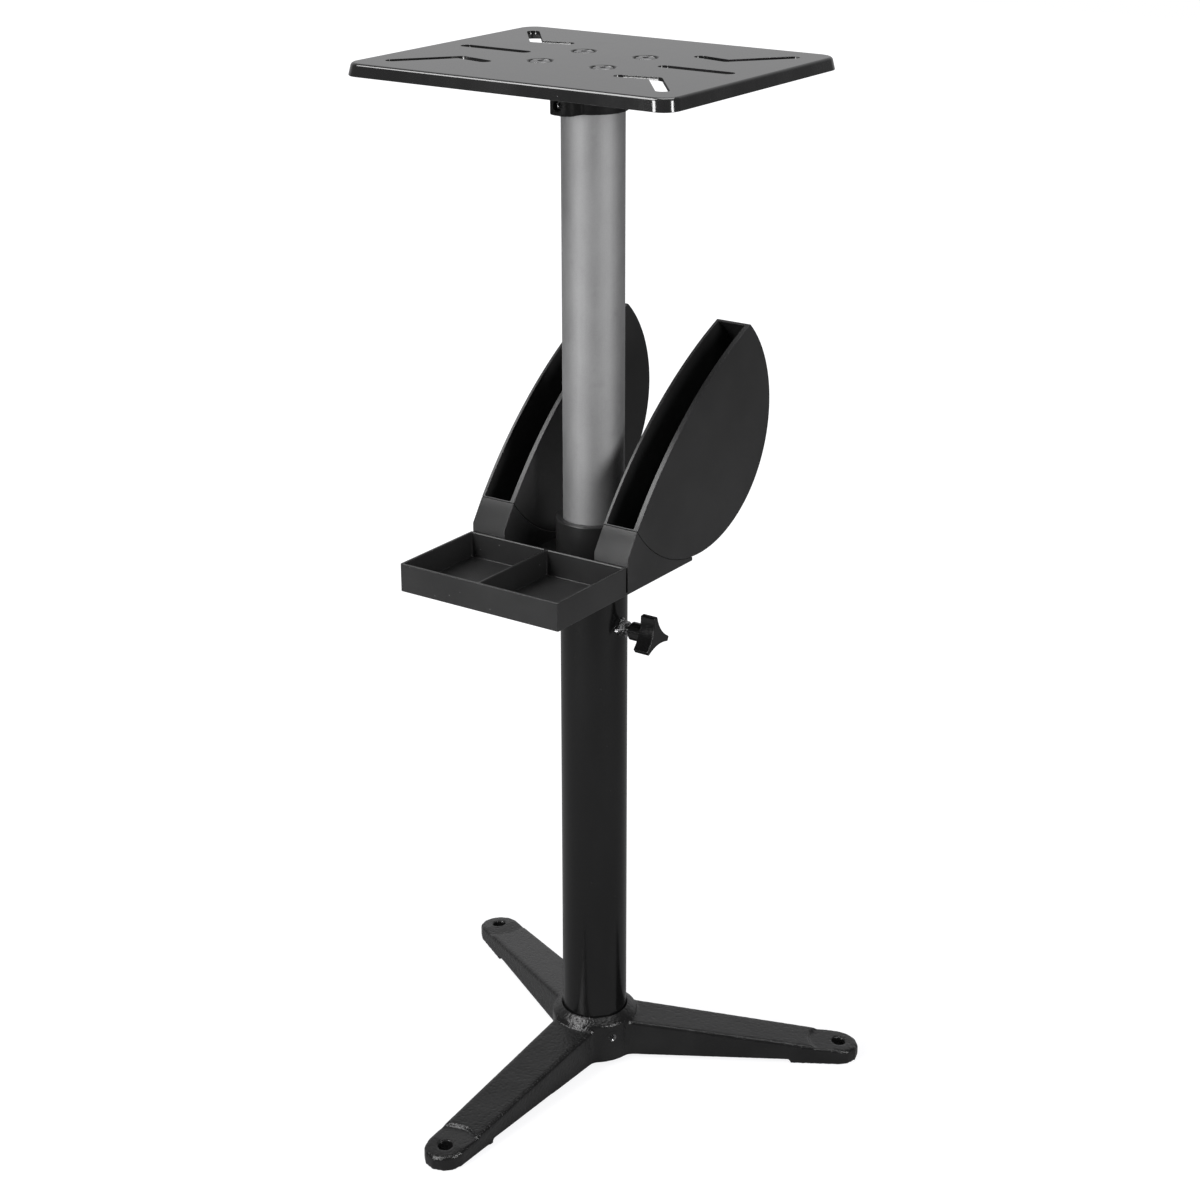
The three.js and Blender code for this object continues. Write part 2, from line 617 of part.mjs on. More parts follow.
// The room inside a saddle, open above, one wall thickness in from its front, floor and back.
function saddleRoom() {
  const strip = pocketFront.clone().sub(new THREE.Vector2(saddleFront, SADDLE_KNEE));
  const slope = strip.y / strip.x;
  const inset = TRAY_WALL * strip.length() / strip.y;
  const front = saddleFront + TRAY_WALL;
  const back = collarRadius - TRAY_WALL;
  const top = pocketFront.y + CUT_MARGIN;
  const shape = new THREE.Shape();
  shape.moveTo(front, TRAY_WALL);
  shape.lineTo(back, TRAY_WALL);
  shape.lineTo(back, top);
  shape.lineTo(saddleFront + inset + (top - SADDLE_KNEE) / slope, top);
  shape.lineTo(front, SADDLE_KNEE + (TRAY_WALL - inset) * slope);
  return shape;
}

function toolTray() {
  const side = TRAY_WIDTH / 2;
  const box = raised(roundedRectangle(-side, side, -TRAY_FRONT, -TRAY_BACK, TRAY_CORNER_RADIUS), 0, TRAY_RIM);
  const inside = (left, right) => raised(
    roundedRectangle(left, right, -TRAY_FRONT + TRAY_WALL, -TRAY_BACK - TRAY_WALL, TRAY_CORNER_RADIUS),
    TRAY_WALL, TRAY_RIM + CUT_MARGIN);
  const floor = block(-side, side, -TRAY_BACK - TRAY_WALL / 2, collarRadius, 0, TRAY_WALL);
  const lipHole = innerTubeRadius + TUBE_RUN_GAP;
  const lipUnder = COLLAR_HEIGHT - COLLAR_LIP;
  const collar = turned([
    [tubeSocket, 0],
    [collarRadius, 0],
    [collarRadius, COLLAR_HEIGHT - COLLAR_ROUND],
    [collarRadius - COLLAR_ROUND, COLLAR_HEIGHT],
    [lipHole, COLLAR_HEIGHT],
    [lipHole, lipUnder],
    [tubeSocket, lipUnder],
  ]);
  const saddles = [];
  for (const left of [-side, pocketInnerX]) {
    const whole = across(saddleOutline(), left, left + POCKET_WIDTH);
    const room = across(saddleRoom(), left + TRAY_WALL, left + POCKET_WIDTH - TRAY_WALL);
    saddles.push(cut(whole, room));
  }
  const divider = TRAY_WALL / 2;
  const trayShell = cut(box, inside(-side + TRAY_WALL, -divider), inside(divider, side - TRAY_WALL));
  const plate = cut(floor, disc(collarRadius - COLLAR_WALL / 2, -CUT_MARGIN, COLLAR_HEIGHT, ROUND_STEPS));
  return fuse(trayShell, plate, collar, ...saddles);
}

// A pocket's side view.
function pocketOutline() {
  const half = pocketTip.clone().sub(pocketFront).divideScalar(2);
  const depth = Math.sqrt(POCKET_RIM_RADIUS ** 2 - half.lengthSq());
  const inward = new THREE.Vector2(half.y, -half.x).setLength(depth);
  const rimCentre = pocketFront.clone().add(half).add(inward);
  const rimStart = pocketFront.clone().sub(rimCentre).angle();
  const rimEnd = pocketTip.clone().sub(rimCentre).angle();
  const shape = new THREE.Shape();
  shape.absarc(rimCentre.x, rimCentre.y, POCKET_RIM_RADIUS, rimStart, rimEnd, true);
  shape.absarc(backCentre.x, backCentre.y, POCKET_BACK_RADIUS,
    radians(POCKET_TIP_ANGLE), radians(POCKET_BLEND_ANGLE), true);
  shape.absarc(lowerCentre.x, lowerCentre.y, POCKET_LOWER_RADIUS,
    radians(POCKET_BLEND_ANGLE), radians(POCKET_FRONT_ANGLE), true);
  return shape;
}

// The room inside a pocket: one wall thickness in from its arcs, thinning to the lip, and open past its rim.
function pocketRoom() {
  const past = new THREE.Vector2(pocketFront.y - pocketTip.y, pocketTip.x - pocketFront.x)
    .setLength(POCKET_BACK_RADIUS);
  const overrun = 2 * POCKET_WALL / POCKET_BACK_RADIUS;
  const shape = new THREE.Shape();
  shape.absarc(backCentre.x, backCentre.y, POCKET_BACK_RADIUS - POCKET_WALL,
    radians(POCKET_TIP_ANGLE) + overrun, radians(POCKET_BLEND_ANGLE), true);
  shape.absarc(lowerCentre.x, lowerCentre.y, POCKET_LOWER_RADIUS - POCKET_WALL,
    radians(POCKET_BLEND_ANGLE), radians(POCKET_THINNING_ANGLE), true);
  const lipAngle = POCKET_FRONT_ANGLE - THREE.MathUtils.radToDeg(overrun);
  for (let i = 1; i <= ARC_STEPS; i += 1) {
    const angle = THREE.MathUtils.lerp(POCKET_THINNING_ANGLE, lipAngle, i / ARC_STEPS);
    const wall = THREE.MathUtils.lerp(POCKET_WALL, POCKET_LIP, i / ARC_STEPS);
    const point = towards(angle, POCKET_LOWER_RADIUS - wall).add(lowerCentre);
    shape.lineTo(point.x, point.y);
  }
  shape.lineTo(pocketFront.x + past.x, pocketFront.y + past.y);
  shape.lineTo(pocketTip.x + past.x, pocketTip.y + past.y);
  return shape;
}

// A tongue under a pocket that goes down inside the saddle's cheek.
function tongueOutline() {
  const inner = POCKET_LOWER_RADIUS - POCKET_LIP / 2;
  const outer = POCKET_LOWER_RADIUS + TONGUE_DEPTH;
  const shape = new THREE.Shape();
  shape.absarc(lowerCentre.x, lowerCentre.y, outer, radians(TONGUE_FRONT_ANGLE), radians(TONGUE_BACK_ANGLE));
  shape.absarc(lowerCentre.x, lowerCentre.y, inner,
    radians(TONGUE_BACK_ANGLE), radians(TONGUE_FRONT_ANGLE), true);
  return shape;
}

function wheelPocket(left) {
  const right = left + POCKET_WIDTH;
  const shell = cut(
    across(pocketOutline(), left, right),
    across(pocketRoom(), left + POCKET_WALL, right - POCKET_RIGHT_CHEEK));
  const reach = TRAY_WALL + SEAT_GAP;
  const tongues = [left + reach, right - reach - TONGUE_THICKNESS].map((side) =>
    across(tongueOutline(), side, side + TONGUE_THICKNESS));
  return fuse(shell, ...tongues);
}

// Finishes

const finish = (color, roughness, metalness) =>
  new THREE.MeshStandardMaterial({ color, roughness, metalness });

const castEnamel = finish(0x1c1c1d, 0.42, 0.0);
const glossEnamel = finish(0x151516, 0.22, 0.0);
const tableEnamel = finish(0x202021, 0.35, 0.0);
const bareSteel = finish(0xb4b5b6, 0.38, 1.0);
const platedSteel = finish(0xc9cac6, 0.3, 1.0);
const darkSteel = finish(0x3a3b3c, 0.45, 1.0);
const blackPlastic = finish(0x1b1b1c, 0.5, 0.0);

// Assembly

function piece(name, body, material) {
  const mesh = new THREE.Mesh(surface(body), material);
  mesh.name = name;
  return mesh;
}

// A set screw pointing at the column's axis, with its tip at the given distance from it.
function radialScrew(name, length, angle, height, tip, material) {
  const screw = piece(name, setScrew(length), material);
  screw.position.set(tip * Math.cos(radians(angle)), tip * Math.sin(radians(angle)), height);
  screw.rotation.set(0, Math.PI / 2, radians(angle), 'ZYX');
  return screw;
}

const stand = new THREE.Group();
stand.add(
  piece('base_casting', baseCasting(), castEnamel),
  radialScrew('base_set_screw', HUB_SCREW_LENGTH, HUB_SCREW_ANGLE, HUB_SCREW_HEIGHT, tubeSocket, darkSteel),
  piece('outer_tube', outerTube(), glossEnamel),
  piece('inner_tube', innerTube(), bareSteel));

const clamp = new THREE.Group();
clamp.position.set(0, 0, clampHeight);
clamp.rotation.y = Math.PI / 2;
clamp.add(
  piece('clamp_nut', clampNut(), platedSteel),
  piece('clamp_stud', clampStud(), platedSteel),
  piece('clamp_knob', clampKnob(), blackPlastic));

const tray = new THREE.Group();
tray.position.set(0, 0, trayBottom);
tray.add(
  piece('tool_tray', toolTray(), blackPlastic),
  piece('wheel_pocket_left', wheelPocket(-TRAY_WIDTH / 2), blackPlastic),
  piece('wheel_pocket_right', wheelPocket(pocketInnerX), blackPlastic));

const table = new THREE.Group();
table.position.set(0, 0, TABLE_HEIGHT);
table.add(
  piece('table_plate', tablePlate(), tableEnamel),
  piece('table_flange', tableFlange(), castEnamel),
  radialScrew('flange_set_screw', FLANGE_SCREW_LENGTH, LUG_ANGLE, socketBottom + FLANGE_SCREW_RISE,
    flangeSocket, darkSteel));
screwPlaces.forEach((place, i) => {
  const screw = piece(`table_screw_${i + 1}`, tableScrew(), darkSteel);
  const nut = piece(`table_nut_${i + 1}`, tableNut(), platedSteel);
  screw.position.copy(place);
  nut.position.copy(place);
  table.add(screw, nut);
});

stand.add(clamp, tray, table);

export default stand;
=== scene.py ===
"""Looks of a bench grinder stand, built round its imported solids.

Every piece is in metres, in the frame of the solids: the origin is on the floor under the column, +Z is up,
the tool tray faces -Y and the clamp knob stands out towards +X.
"""

from __future__ import annotations

import json
import logging
import math
from collections.abc import Callable, Iterator, Sequence
from contextlib import contextmanager
from dataclasses import dataclass, field
from enum import Enum

import bmesh
import bpy
from mathutils import Matrix, Vector

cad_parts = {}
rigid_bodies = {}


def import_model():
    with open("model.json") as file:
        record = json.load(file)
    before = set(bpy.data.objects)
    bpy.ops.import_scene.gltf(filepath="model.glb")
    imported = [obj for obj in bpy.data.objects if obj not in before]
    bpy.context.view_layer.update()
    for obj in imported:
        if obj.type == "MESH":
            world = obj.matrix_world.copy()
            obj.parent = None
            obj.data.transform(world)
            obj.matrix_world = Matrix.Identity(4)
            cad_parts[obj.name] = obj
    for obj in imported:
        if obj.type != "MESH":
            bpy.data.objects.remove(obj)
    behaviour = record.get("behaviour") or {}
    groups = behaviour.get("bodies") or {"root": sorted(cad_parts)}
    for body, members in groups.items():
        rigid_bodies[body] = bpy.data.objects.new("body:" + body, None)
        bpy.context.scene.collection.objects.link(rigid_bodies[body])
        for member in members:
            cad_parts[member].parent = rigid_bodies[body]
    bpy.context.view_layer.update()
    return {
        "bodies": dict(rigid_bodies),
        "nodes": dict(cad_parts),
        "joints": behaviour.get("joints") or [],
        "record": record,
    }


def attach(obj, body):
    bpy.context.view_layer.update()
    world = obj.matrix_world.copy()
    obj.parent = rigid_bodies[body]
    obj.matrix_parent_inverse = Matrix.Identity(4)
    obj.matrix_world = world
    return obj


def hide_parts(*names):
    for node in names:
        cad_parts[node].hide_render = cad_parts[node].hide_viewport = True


LOG = logging.getLogger("stand")
FULL_TURN = 2 * math.pi
QUARTER_TURN = math.pi / 2
UP = Vector((0, 0, 1))
CUT_MARGIN = 0.001
WELD_DISTANCE = 1e-6
PLACE_TOLERANCE = 2e-5

Colour = tuple[float, float, float, float]
Point = tuple[float, float]


def grey(level: float) -> Colour:
    """A neutral colour of this linear level."""
    return (level, level, level * 1.01, 1.0)


# Shader values and sheets


class Wire:
    """A shader value that takes part in plain arithmetic, adding Math nodes as it goes."""

    def __init__(self, sheet: ShaderSheet, socket: bpy.types.NodeSocket) -> None:
        """Wraps one output socket.

        Args:
            sheet: The sheet that the socket's node stands on.
            socket: The output socket.
        """
        self.sheet = sheet
        self.socket = socket

    def _maths(self, operation: str, first: Wire | float, second: Wire | float) -> Wire:
        """A Math node on two values."""
        return self.sheet.node("ShaderNodeMath", {"operation": operation}, {0: first, 1: second})

    def __add__(self, other: Wire | float) -> Wire:
        """This value plus another."""
        return self._maths("ADD", self, other)

    def __radd__(self, other: float) -> Wire:
        """A number plus this value."""
        return self._maths("ADD", other, self)

    def __sub__(self, other: Wire | float) -> Wire:
        """This value less another."""
        return self._maths("SUBTRACT", self, other)

    def __rsub__(self, other: float) -> Wire:
        """A number less this value."""
        return self._maths("SUBTRACT", other, self)

    def __mul__(self, other: Wire | float) -> Wire:
        """This value times another."""
        return self._maths("MULTIPLY", self, other)

    def __rmul__(self, other: float) -> Wire:
        """A number times this value."""
        return self._maths("MULTIPLY", other, self)

    def __pow__(self, other: float) -> Wire:
        """This value raised to a power."""
        return self._maths("POWER", self, other)

    def most(self, other: Wire | float) -> Wire:
        """The larger of this value and another."""
        return self._maths("MAXIMUM", self, other)

    def band(self, low: float, high: float) -> Wire:
        """This value eased from 0 at low to 1 at high."""
        settings = {"interpolation_type": "SMOOTHSTEP"}
        return self.sheet.node("ShaderNodeMapRange", settings, {0: self, 1: low, 2: high, 3: 0.0, 4: 1.0})


class ShaderSheet:
    """A node tree that is filled from Python expressions."""

    def __init__(self, tree: bpy.types.NodeTree) -> None:
        """Empties the tree.

        Args:
            tree: The node tree of a material or of the world.
        """
        self.tree = tree
        tree.nodes.clear()

    def node(
        self,
        kind: str,
        settings: dict[str, object] | None = None,
        sockets: dict[int | str, object] | None = None,
        output: int | str = 0,
    ) -> Wire:
        """Adds a node of any kind.

        Args:
            kind: The node's type.
            settings: The node's own properties, which are set first.
            sockets: Values or wires for its inputs, by place or name.
            output: The output to hand back.

        Returns:
            The chosen output, ready for arithmetic.
        """
        made = self.tree.nodes.new(kind)
        for name, value in (settings or {}).items():
            setattr(made, name, value)
        for key, value in (sockets or {}).items():
            if isinstance(value, Wire):
                self.tree.links.new(value.socket, made.inputs[key])
            else:
                made.inputs[key].default_value = value
        return Wire(self, made.outputs[output] if len(made.outputs) else None)

    def place(self) -> Wire:
        """Where a point lies on its object."""
        return self.node("ShaderNodeTexCoord", output="Object")

    def stretched(self, scale: Sequence[float], at: Wire | None = None) -> Wire:
        """Places scaled unevenly, for marks that run one way."""
        return self.node("ShaderNodeMapping", {}, {"Vector": at or self.place(), "Scale": scale})

    def clouds(self, scale: float, detail: float = 2.0, at: Wire | None = None, roughness: float = 0.5) -> Wire:
        """Soft noise from 0 to 1.

        Args:
            scale: How many clouds fit in a metre.
            detail: How many finer layers are added.
            at: The places it is read at.
            roughness: How strong the finer layers are.

        Returns:
            The noise.
        """
        sockets = {"Vector": at or self.place(), "Scale": scale, "Detail": detail, "Roughness": roughness}
        return self.node("ShaderNodeTexNoise", {}, sockets)

    def cells(self, scale: float) -> Wire:
        """Distance to the nearest of many scattered points, for pits and specks."""
        return self.node("ShaderNodeTexVoronoi", {}, {"Vector": self.place(), "Scale": scale}, "Distance")

    def height(self, axis: str = "Z") -> Wire:
        """One coordinate of a point's place."""
        return self.node("ShaderNodeSeparateXYZ", {}, {0: self.place()}, axis)

    def shade(self, factor: Wire, low: Colour, high: Colour) -> Wire:
        """A colour between two others."""
        return self.node("ShaderNodeMix", {"data_type": "RGBA"}, {0: factor, 6: low, 7: high}, 2)

    def bump(self, relief: Wire, depth: float, strength: float = 1.0, under: Wire | None = None) -> Wire:
        """A normal that follows a relief.

        Args:
            relief: Heights from 0 to 1.
            depth: The height of 1, in metres.
            strength: How much of it shows.
            under: A normal that it is laid over.

        Returns:
            The new normal.
        """
        sockets: dict[int | str, object] = {"Height": relief, "Distance": depth, "Strength": strength}
        if under is not None:
            sockets["Normal"] = under
        return self.node("ShaderNodeBump", {}, sockets)

    def close(self, **sockets: object) -> None:
        """Ends the sheet with a surface whose sockets take these values, with _ for a blank in a name."""
        named = {name.replace("_", " "): value for name, value in sockets.items()}
        surface = self.node("ShaderNodeBsdfPrincipled", {}, named)
        self.node("ShaderNodeOutputMaterial", {}, {"Surface": surface})


# Finishes


@dataclass(frozen=True)
class Finish:
    """A surface finish: a name, a base colour and how rough it is."""

    name: str
    level: float
    roughness: float
    shine: float = 0.5

    def make(self) -> bpy.types.Material:
        """The finish as a material."""
        material = bpy.data.materials.new(self.name)
        material.use_nodes = True
        self.draw(ShaderSheet(material.node_tree))
        return material

    def draw(self, sheet: ShaderSheet) -> None:
        """Fills the material's sheet."""
        raise NotImplementedError


@dataclass(frozen=True)
class CastEnamel(Finish):
    """Black enamel over a rough sand casting."""

    grit_per_metre: float = 460.0
    grit_depth: float = 0.0006

    def draw(self, sheet: ShaderSheet) -> None:
        """Grit and pits under the paint, with dusty patches that dull it."""
        grit = sheet.clouds(self.grit_per_metre, 3.0, roughness=0.6)
        pits = sheet.cells(self.grit_per_metre / 2)
        patches = sheet.clouds(38.0, 3.0)
        dust = sheet.clouds(1400.0, 2.0).band(0.7, 0.78)
        colour = sheet.shade(patches.band(0.35, 0.7), grey(self.level * 0.75), grey(self.level * 1.2))
        relief = grit * 0.75 + pits.band(0.0, 0.45) * 0.35
        sheet.close(
            Base_Color=sheet.shade(dust * 0.35, colour, grey(0.16)),
            Roughness=self.roughness + (patches - 0.5) * 0.12 + (grit - 0.5) * 0.08,
            Normal=sheet.bump(relief, self.grit_depth),
            Specular_IOR_Level=self.shine,
        )


@dataclass(frozen=True)
class GlossEnamel(Finish):
    """Gloss paint on metal, with a faint orange peel and a few dust nibs."""

    peel_per_metre: float = 260.0
    peel_depth: float = 0.00005

    def draw(self, sheet: ShaderSheet) -> None:
        """Orange peel, nibs and slight smears."""
        peel = sheet.clouds(self.peel_per_metre, 2.0)
        nibs = 1.0 - sheet.cells(95.0).band(0.03, 0.05)
        smears = sheet.clouds(9.0, 4.0, sheet.stretched((3.0, 3.0, 1.0)))
        colour = sheet.shade(smears.band(0.4, 0.7), grey(self.level), grey(self.level * 1.5))
        sheet.close(
            Base_Color=sheet.shade(nibs * 0.12, colour, grey(0.25)),
            Roughness=self.roughness + (smears - 0.5) * 0.14,
            Normal=sheet.bump(peel * 0.8 + nibs * 0.5, self.peel_depth),
            Specular_IOR_Level=self.shine,
        )


@dataclass(frozen=True)
class DrawnSteel(Finish):
    """Bare welded tube: draw lines along it and grey mottling."""

    def draw(self, sheet: ShaderSheet) -> None:
        """Draw lines, mottling, speckle and stains."""
        lines = sheet.clouds(1.0, 3.0, sheet.stretched((1500.0, 1500.0, 5.0)))
        mottle = sheet.clouds(26.0, 6.0, sheet.stretched((1.6, 1.6, 0.8)), roughness=0.65)
        speckle = sheet.clouds(900.0, 2.0, roughness=0.7)
        stains = sheet.clouds(75.0, 4.0).band(0.55, 0.8)
        tone = mottle.band(0.2, 0.8) * 0.6 + speckle.band(0.25, 0.75) * 0.4
        colour = sheet.shade(tone, grey(self.level * 0.84), grey(self.level * 1.12))
        sheet.close(
            Base_Color=sheet.shade(stains * 0.3, colour, grey(self.level * 0.72)),
            Metallic=1.0,
            Roughness=self.roughness + (mottle - 0.5) * 0.08 + (lines - 0.5) * 0.1 + (speckle - 0.5) * 0.1,
            Normal=sheet.bump(lines * 0.5 + speckle * 0.5, 0.00004),
        )


@dataclass(frozen=True)
class PlatedSteel(Finish):
    """Plated or blackened small parts, with a fine grain and rubbed places."""

    grain_per_metre: float = 2600.0

    def draw(self, sheet: ShaderSheet) -> None:
        """Fine grain, with lighter and darker places."""
        grain = sheet.clouds(self.grain_per_metre, 2.0)
        rub = sheet.clouds(420.0, 3.0).band(0.38, 0.68)
        sheet.close(
            Base_Color=sheet.shade(rub, grey(self.level * 0.7), grey(self.level * 1.15)),
            Metallic=1.0,
            Roughness=self.roughness + (grain - 0.5) * 0.22 + rub * 0.08,
            Normal=sheet.bump(grain, 0.00004),
        )


@dataclass(frozen=True)
class MouldedPlastic(Finish):
    """Black moulded plastic with a fine spark-eroded grain and faint scuffs."""

    grain_per_metre: float = 1900.0
    grain_depth: float = 0.00006

    def draw(self, sheet: ShaderSheet) -> None:
        """Grain, flow patches, scuffs and specks of dust."""
        grain = sheet.clouds(self.grain_per_metre, 2.0, roughness=0.6)
        flow = sheet.clouds(14.0, 3.0)
        scuffs = sheet.clouds(60.0, 5.0, sheet.stretched((1.0, 0.35, 1.0)), 0.7).band(0.6, 0.8)
        specks = (1.0 - sheet.cells(85.0).band(0.03, 0.06)) * sheet.clouds(30.0).band(0.5, 0.6)
        colour = sheet.shade(flow.band(0.3, 0.7), grey(self.level * 0.85), grey(self.level * 1.2))
        worn = sheet.shade(scuffs * 0.3, colour, grey(0.05))
        sheet.close(
            Base_Color=sheet.shade(specks * 0.5, worn, grey(0.3)),
            Roughness=self.roughness + (flow - 0.5) * 0.12 + scuffs * 0.08 + (grain - 0.5) * 0.1,
            Normal=sheet.bump(grain, self.grain_depth),
            Specular_IOR_Level=self.shine,
        )


class Paintwork(Enum):
    """The finishes of the stand, named as the record's material slots are."""

    CAST = CastEnamel("cast_enamel", 0.010, 0.15, 0.5)
    FLANGE = CastEnamel("cast_enamel", 0.010, 0.5, 0.15)
    TUBE = GlossEnamel("gloss_enamel", 0.006, 0.18, 0.4)
    TABLE = GlossEnamel("table_enamel", 0.011, 0.12, 1.0)
    STEEL = DrawnSteel("bare_steel", 0.42, 0.67)
    ZINC = PlatedSteel("plated_steel", 0.50, 0.24)
    DARK = PlatedSteel("dark_steel", 0.30, 0.24)
    KNOB = MouldedPlastic("knob_plastic", 0.011, 0.12, 0.35)
    TRAY = MouldedPlastic("tray_plastic", 0.024, 0.32, 0.5)


# Modelling by operators


class Bench:
    """Blender's operators, used on one object at a time."""

    @staticmethod
    def clear() -> None:
        """Deselects everything."""
        bpy.ops.object.select_all(action="DESELECT")

    @staticmethod
    def pick(piece: bpy.types.Object) -> None:
        """Makes a piece the only one selected, and the active one."""
        Bench.clear()
        piece.select_set(True)
        bpy.context.view_layer.objects.active = piece

    @staticmethod
    @contextmanager
    def editing(piece: bpy.types.Object, kind: str = "FACE") -> Iterator[bmesh.types.BMesh]:
        """Edit mode on a piece, with everything in it deselected.

        Args:
            piece: The piece to edit.
            kind: What is selected: VERT, EDGE or FACE.

        Yields:
            The mesh under edit.
        """
        Bench.pick(piece)
        bpy.ops.object.mode_set(mode="EDIT")
        bpy.ops.mesh.select_mode(type=kind)
        bpy.ops.mesh.select_all(action="DESELECT")
        yield bmesh.from_edit_mesh(piece.data)
        bpy.ops.object.mode_set(mode="OBJECT")

    @staticmethod
    def choose(piece: bpy.types.Object, parts: Sequence, test: Callable[[object], bool]) -> None:
        """Selects the vertices, edges or faces that pass a test, in edit mode."""
        for part in parts:
            if test(part):
                part.select_set(True)
        bmesh.update_edit_mesh(piece.data)

    @staticmethod
    def outline(name: str, corners: Sequence[Vector], filled: bool = True) -> bpy.types.Object:
        """A flat outline, drawn by setting the points of a circle.

        Args:
            name: The piece's name.
            corners: The outline's points, in order.
            filled: Whether it holds a face.

        Returns:
            The new object.
        """
        Bench.clear()
        fill = "NGON" if filled else "NOTHING"
        bpy.ops.mesh.primitive_circle_add(vertices=len(corners), fill_type=fill)
        piece = bpy.context.object
        piece.name = name
        piece.data.name = name
        for point, corner in zip(piece.data.vertices, corners):
            point.co = corner
        return piece

    @staticmethod
    def mend(piece: bpy.types.Object) -> None:
        """Merges doubled points and turns all faces outwards."""
        with Bench.editing(piece):
            bpy.ops.mesh.select_all(action="SELECT")
            bpy.ops.mesh.remove_doubles(threshold=WELD_DISTANCE)
            bpy.ops.mesh.normals_make_consistent(inside=False)

    @staticmethod
    def pull(name: str, corners: Sequence[Vector], step: Vector) -> bpy.types.Object:
        """A solid made by extruding an outline.

        Args:
            name: The piece's name.
            corners: The outline's points, in order.
            step: How far it is extruded, and which way.

        Returns:
            The new object.
        """
        piece = Bench.outline(name, corners)
        with Bench.editing(piece):
            bpy.ops.mesh.select_all(action="SELECT")
            bpy.ops.mesh.extrude_region_move(TRANSFORM_OT_translate={"value": step})
        Bench.mend(piece)
        return piece

    @staticmethod
    def turn(name: str, section: Sequence[Point], steps: int) -> bpy.types.Object:
        """A solid turned about Z.

        Args:
            name: The piece's name.
            section: A closed section, as pairs of radius and height.
            steps: How many faces go round it.

        Returns:
            The new object.
        """
        piece = Bench.outline(name, [Vector((radius, 0, height)) for radius, height in section], False)
        with Bench.editing(piece, "VERT"):
            bpy.ops.mesh.select_all(action="SELECT")
            bpy.ops.mesh.spin(steps=steps, angle=FULL_TURN, center=(0, 0, 0), axis=UP)
            bpy.ops.mesh.select_all(action="SELECT")
            bpy.ops.mesh.remove_doubles(threshold=WELD_DISTANCE)
            bpy.ops.mesh.dissolve_degenerate(threshold=WELD_DISTANCE)
        Bench.mend(piece)
        return piece

    @staticmethod
    def apply(piece: bpy.types.Object, kind: str, **settings: object) -> None:
        """Adds a modifier with these settings and applies it."""
        modifier = piece.modifiers.new(kind.lower(), kind)
        for name, value in settings.items():
            setattr(modifier, name, value)
        Bench.pick(piece)
        bpy.ops.object.modifier_apply(modifier=modifier.name)

    @staticmethod
    def shape_with(piece: bpy.types.Object, tool: bpy.types.Object, operation: str) -> None:
        """Cuts a tool out of a piece, or joins it on, and removes the tool.

        Args:
            piece: The piece that is changed.
            tool: The other solid.
            operation: DIFFERENCE, UNION or INTERSECT.
        """
        Bench.apply(piece, "BOOLEAN", object=tool, operation=operation, solver="EXACT")
        bpy.data.meshes.remove(tool.data)

    @staticmethod
    def cut(piece: bpy.types.Object, *tools: bpy.types.Object) -> None:
        """Cuts tools out of a piece."""
        for tool in tools:
            Bench.shape_with(piece, tool, "DIFFERENCE")

    @staticmethod
    def join(piece: bpy.types.Object, *others: bpy.types.Object) -> None:
        """Joins other solids onto a piece."""
        for other in others:
            Bench.shape_with(piece, other, "UNION")

    @staticmethod
    def ease(
        piece: bpy.types.Object,
        width: float,
        segments: int = 3,
        test: Callable[[bmesh.types.BMEdge], bool] | None = None,
        angle: float = math.radians(35),
    ) -> None:
        """Rounds the sharp outer edges of a piece.

        Args:
            piece: The piece to round.
            width: How wide the rounding is.
            segments: How many faces it has.
            test: Which edges are rounded, besides being sharp.
            angle: How far an edge turns before it is sharp.
        """

        def sharp(edge: bmesh.types.BMEdge) -> bool:
            turned = edge.is_manifold and edge.is_convex and edge.calc_face_angle() > angle
            return turned and (test is None or test(edge))

        with Bench.editing(piece, "EDGE") as mesh:
            Bench.choose(piece, mesh.edges, sharp)
            bpy.ops.mesh.bevel(offset=width, segments=segments, profile=0.5, clamp_overlap=False)

    @staticmethod
    def shade(piece: bpy.types.Object, angle: float = math.radians(38)) -> None:
        """Shades a piece smooth, except across its sharp edges."""
        Bench.pick(piece)
        bpy.ops.object.shade_smooth_by_angle(angle=angle)
        Bench.apply(piece, "WEIGHTED_NORMAL", keep_sharp=True)

    @staticmethod
    def move(piece: bpy.types.Object, matrix: Matrix) -> bpy.types.Object:
        """Places a piece by its mesh, so that its object stays at the origin."""
        piece.data.transform(matrix)
        piece.data.update()
        return piece

    @staticmethod
    def copy(piece: bpy.types.Object, name: str, matrix: Matrix) -> bpy.types.Object:
        """A copy with a mesh of its own, placed by its mesh."""
        twin = bpy.data.objects.new(name, piece.data.copy())
        bpy.context.scene.collection.objects.link(twin)
        return Bench.move(twin, matrix)

    @staticmethod
    def merged(node: bpy.types.Object, name: str) -> bpy.types.Object:
        """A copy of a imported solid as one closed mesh."""
        twin = bpy.data.objects.new(name, node.data.copy())
        bpy.context.scene.collection.objects.link(twin)
        twin.data.materials.clear()
        with Bench.editing(twin):
            bpy.ops.mesh.select_all(action="SELECT")
            bpy.ops.mesh.remove_doubles(threshold=WELD_DISTANCE)
        return twin

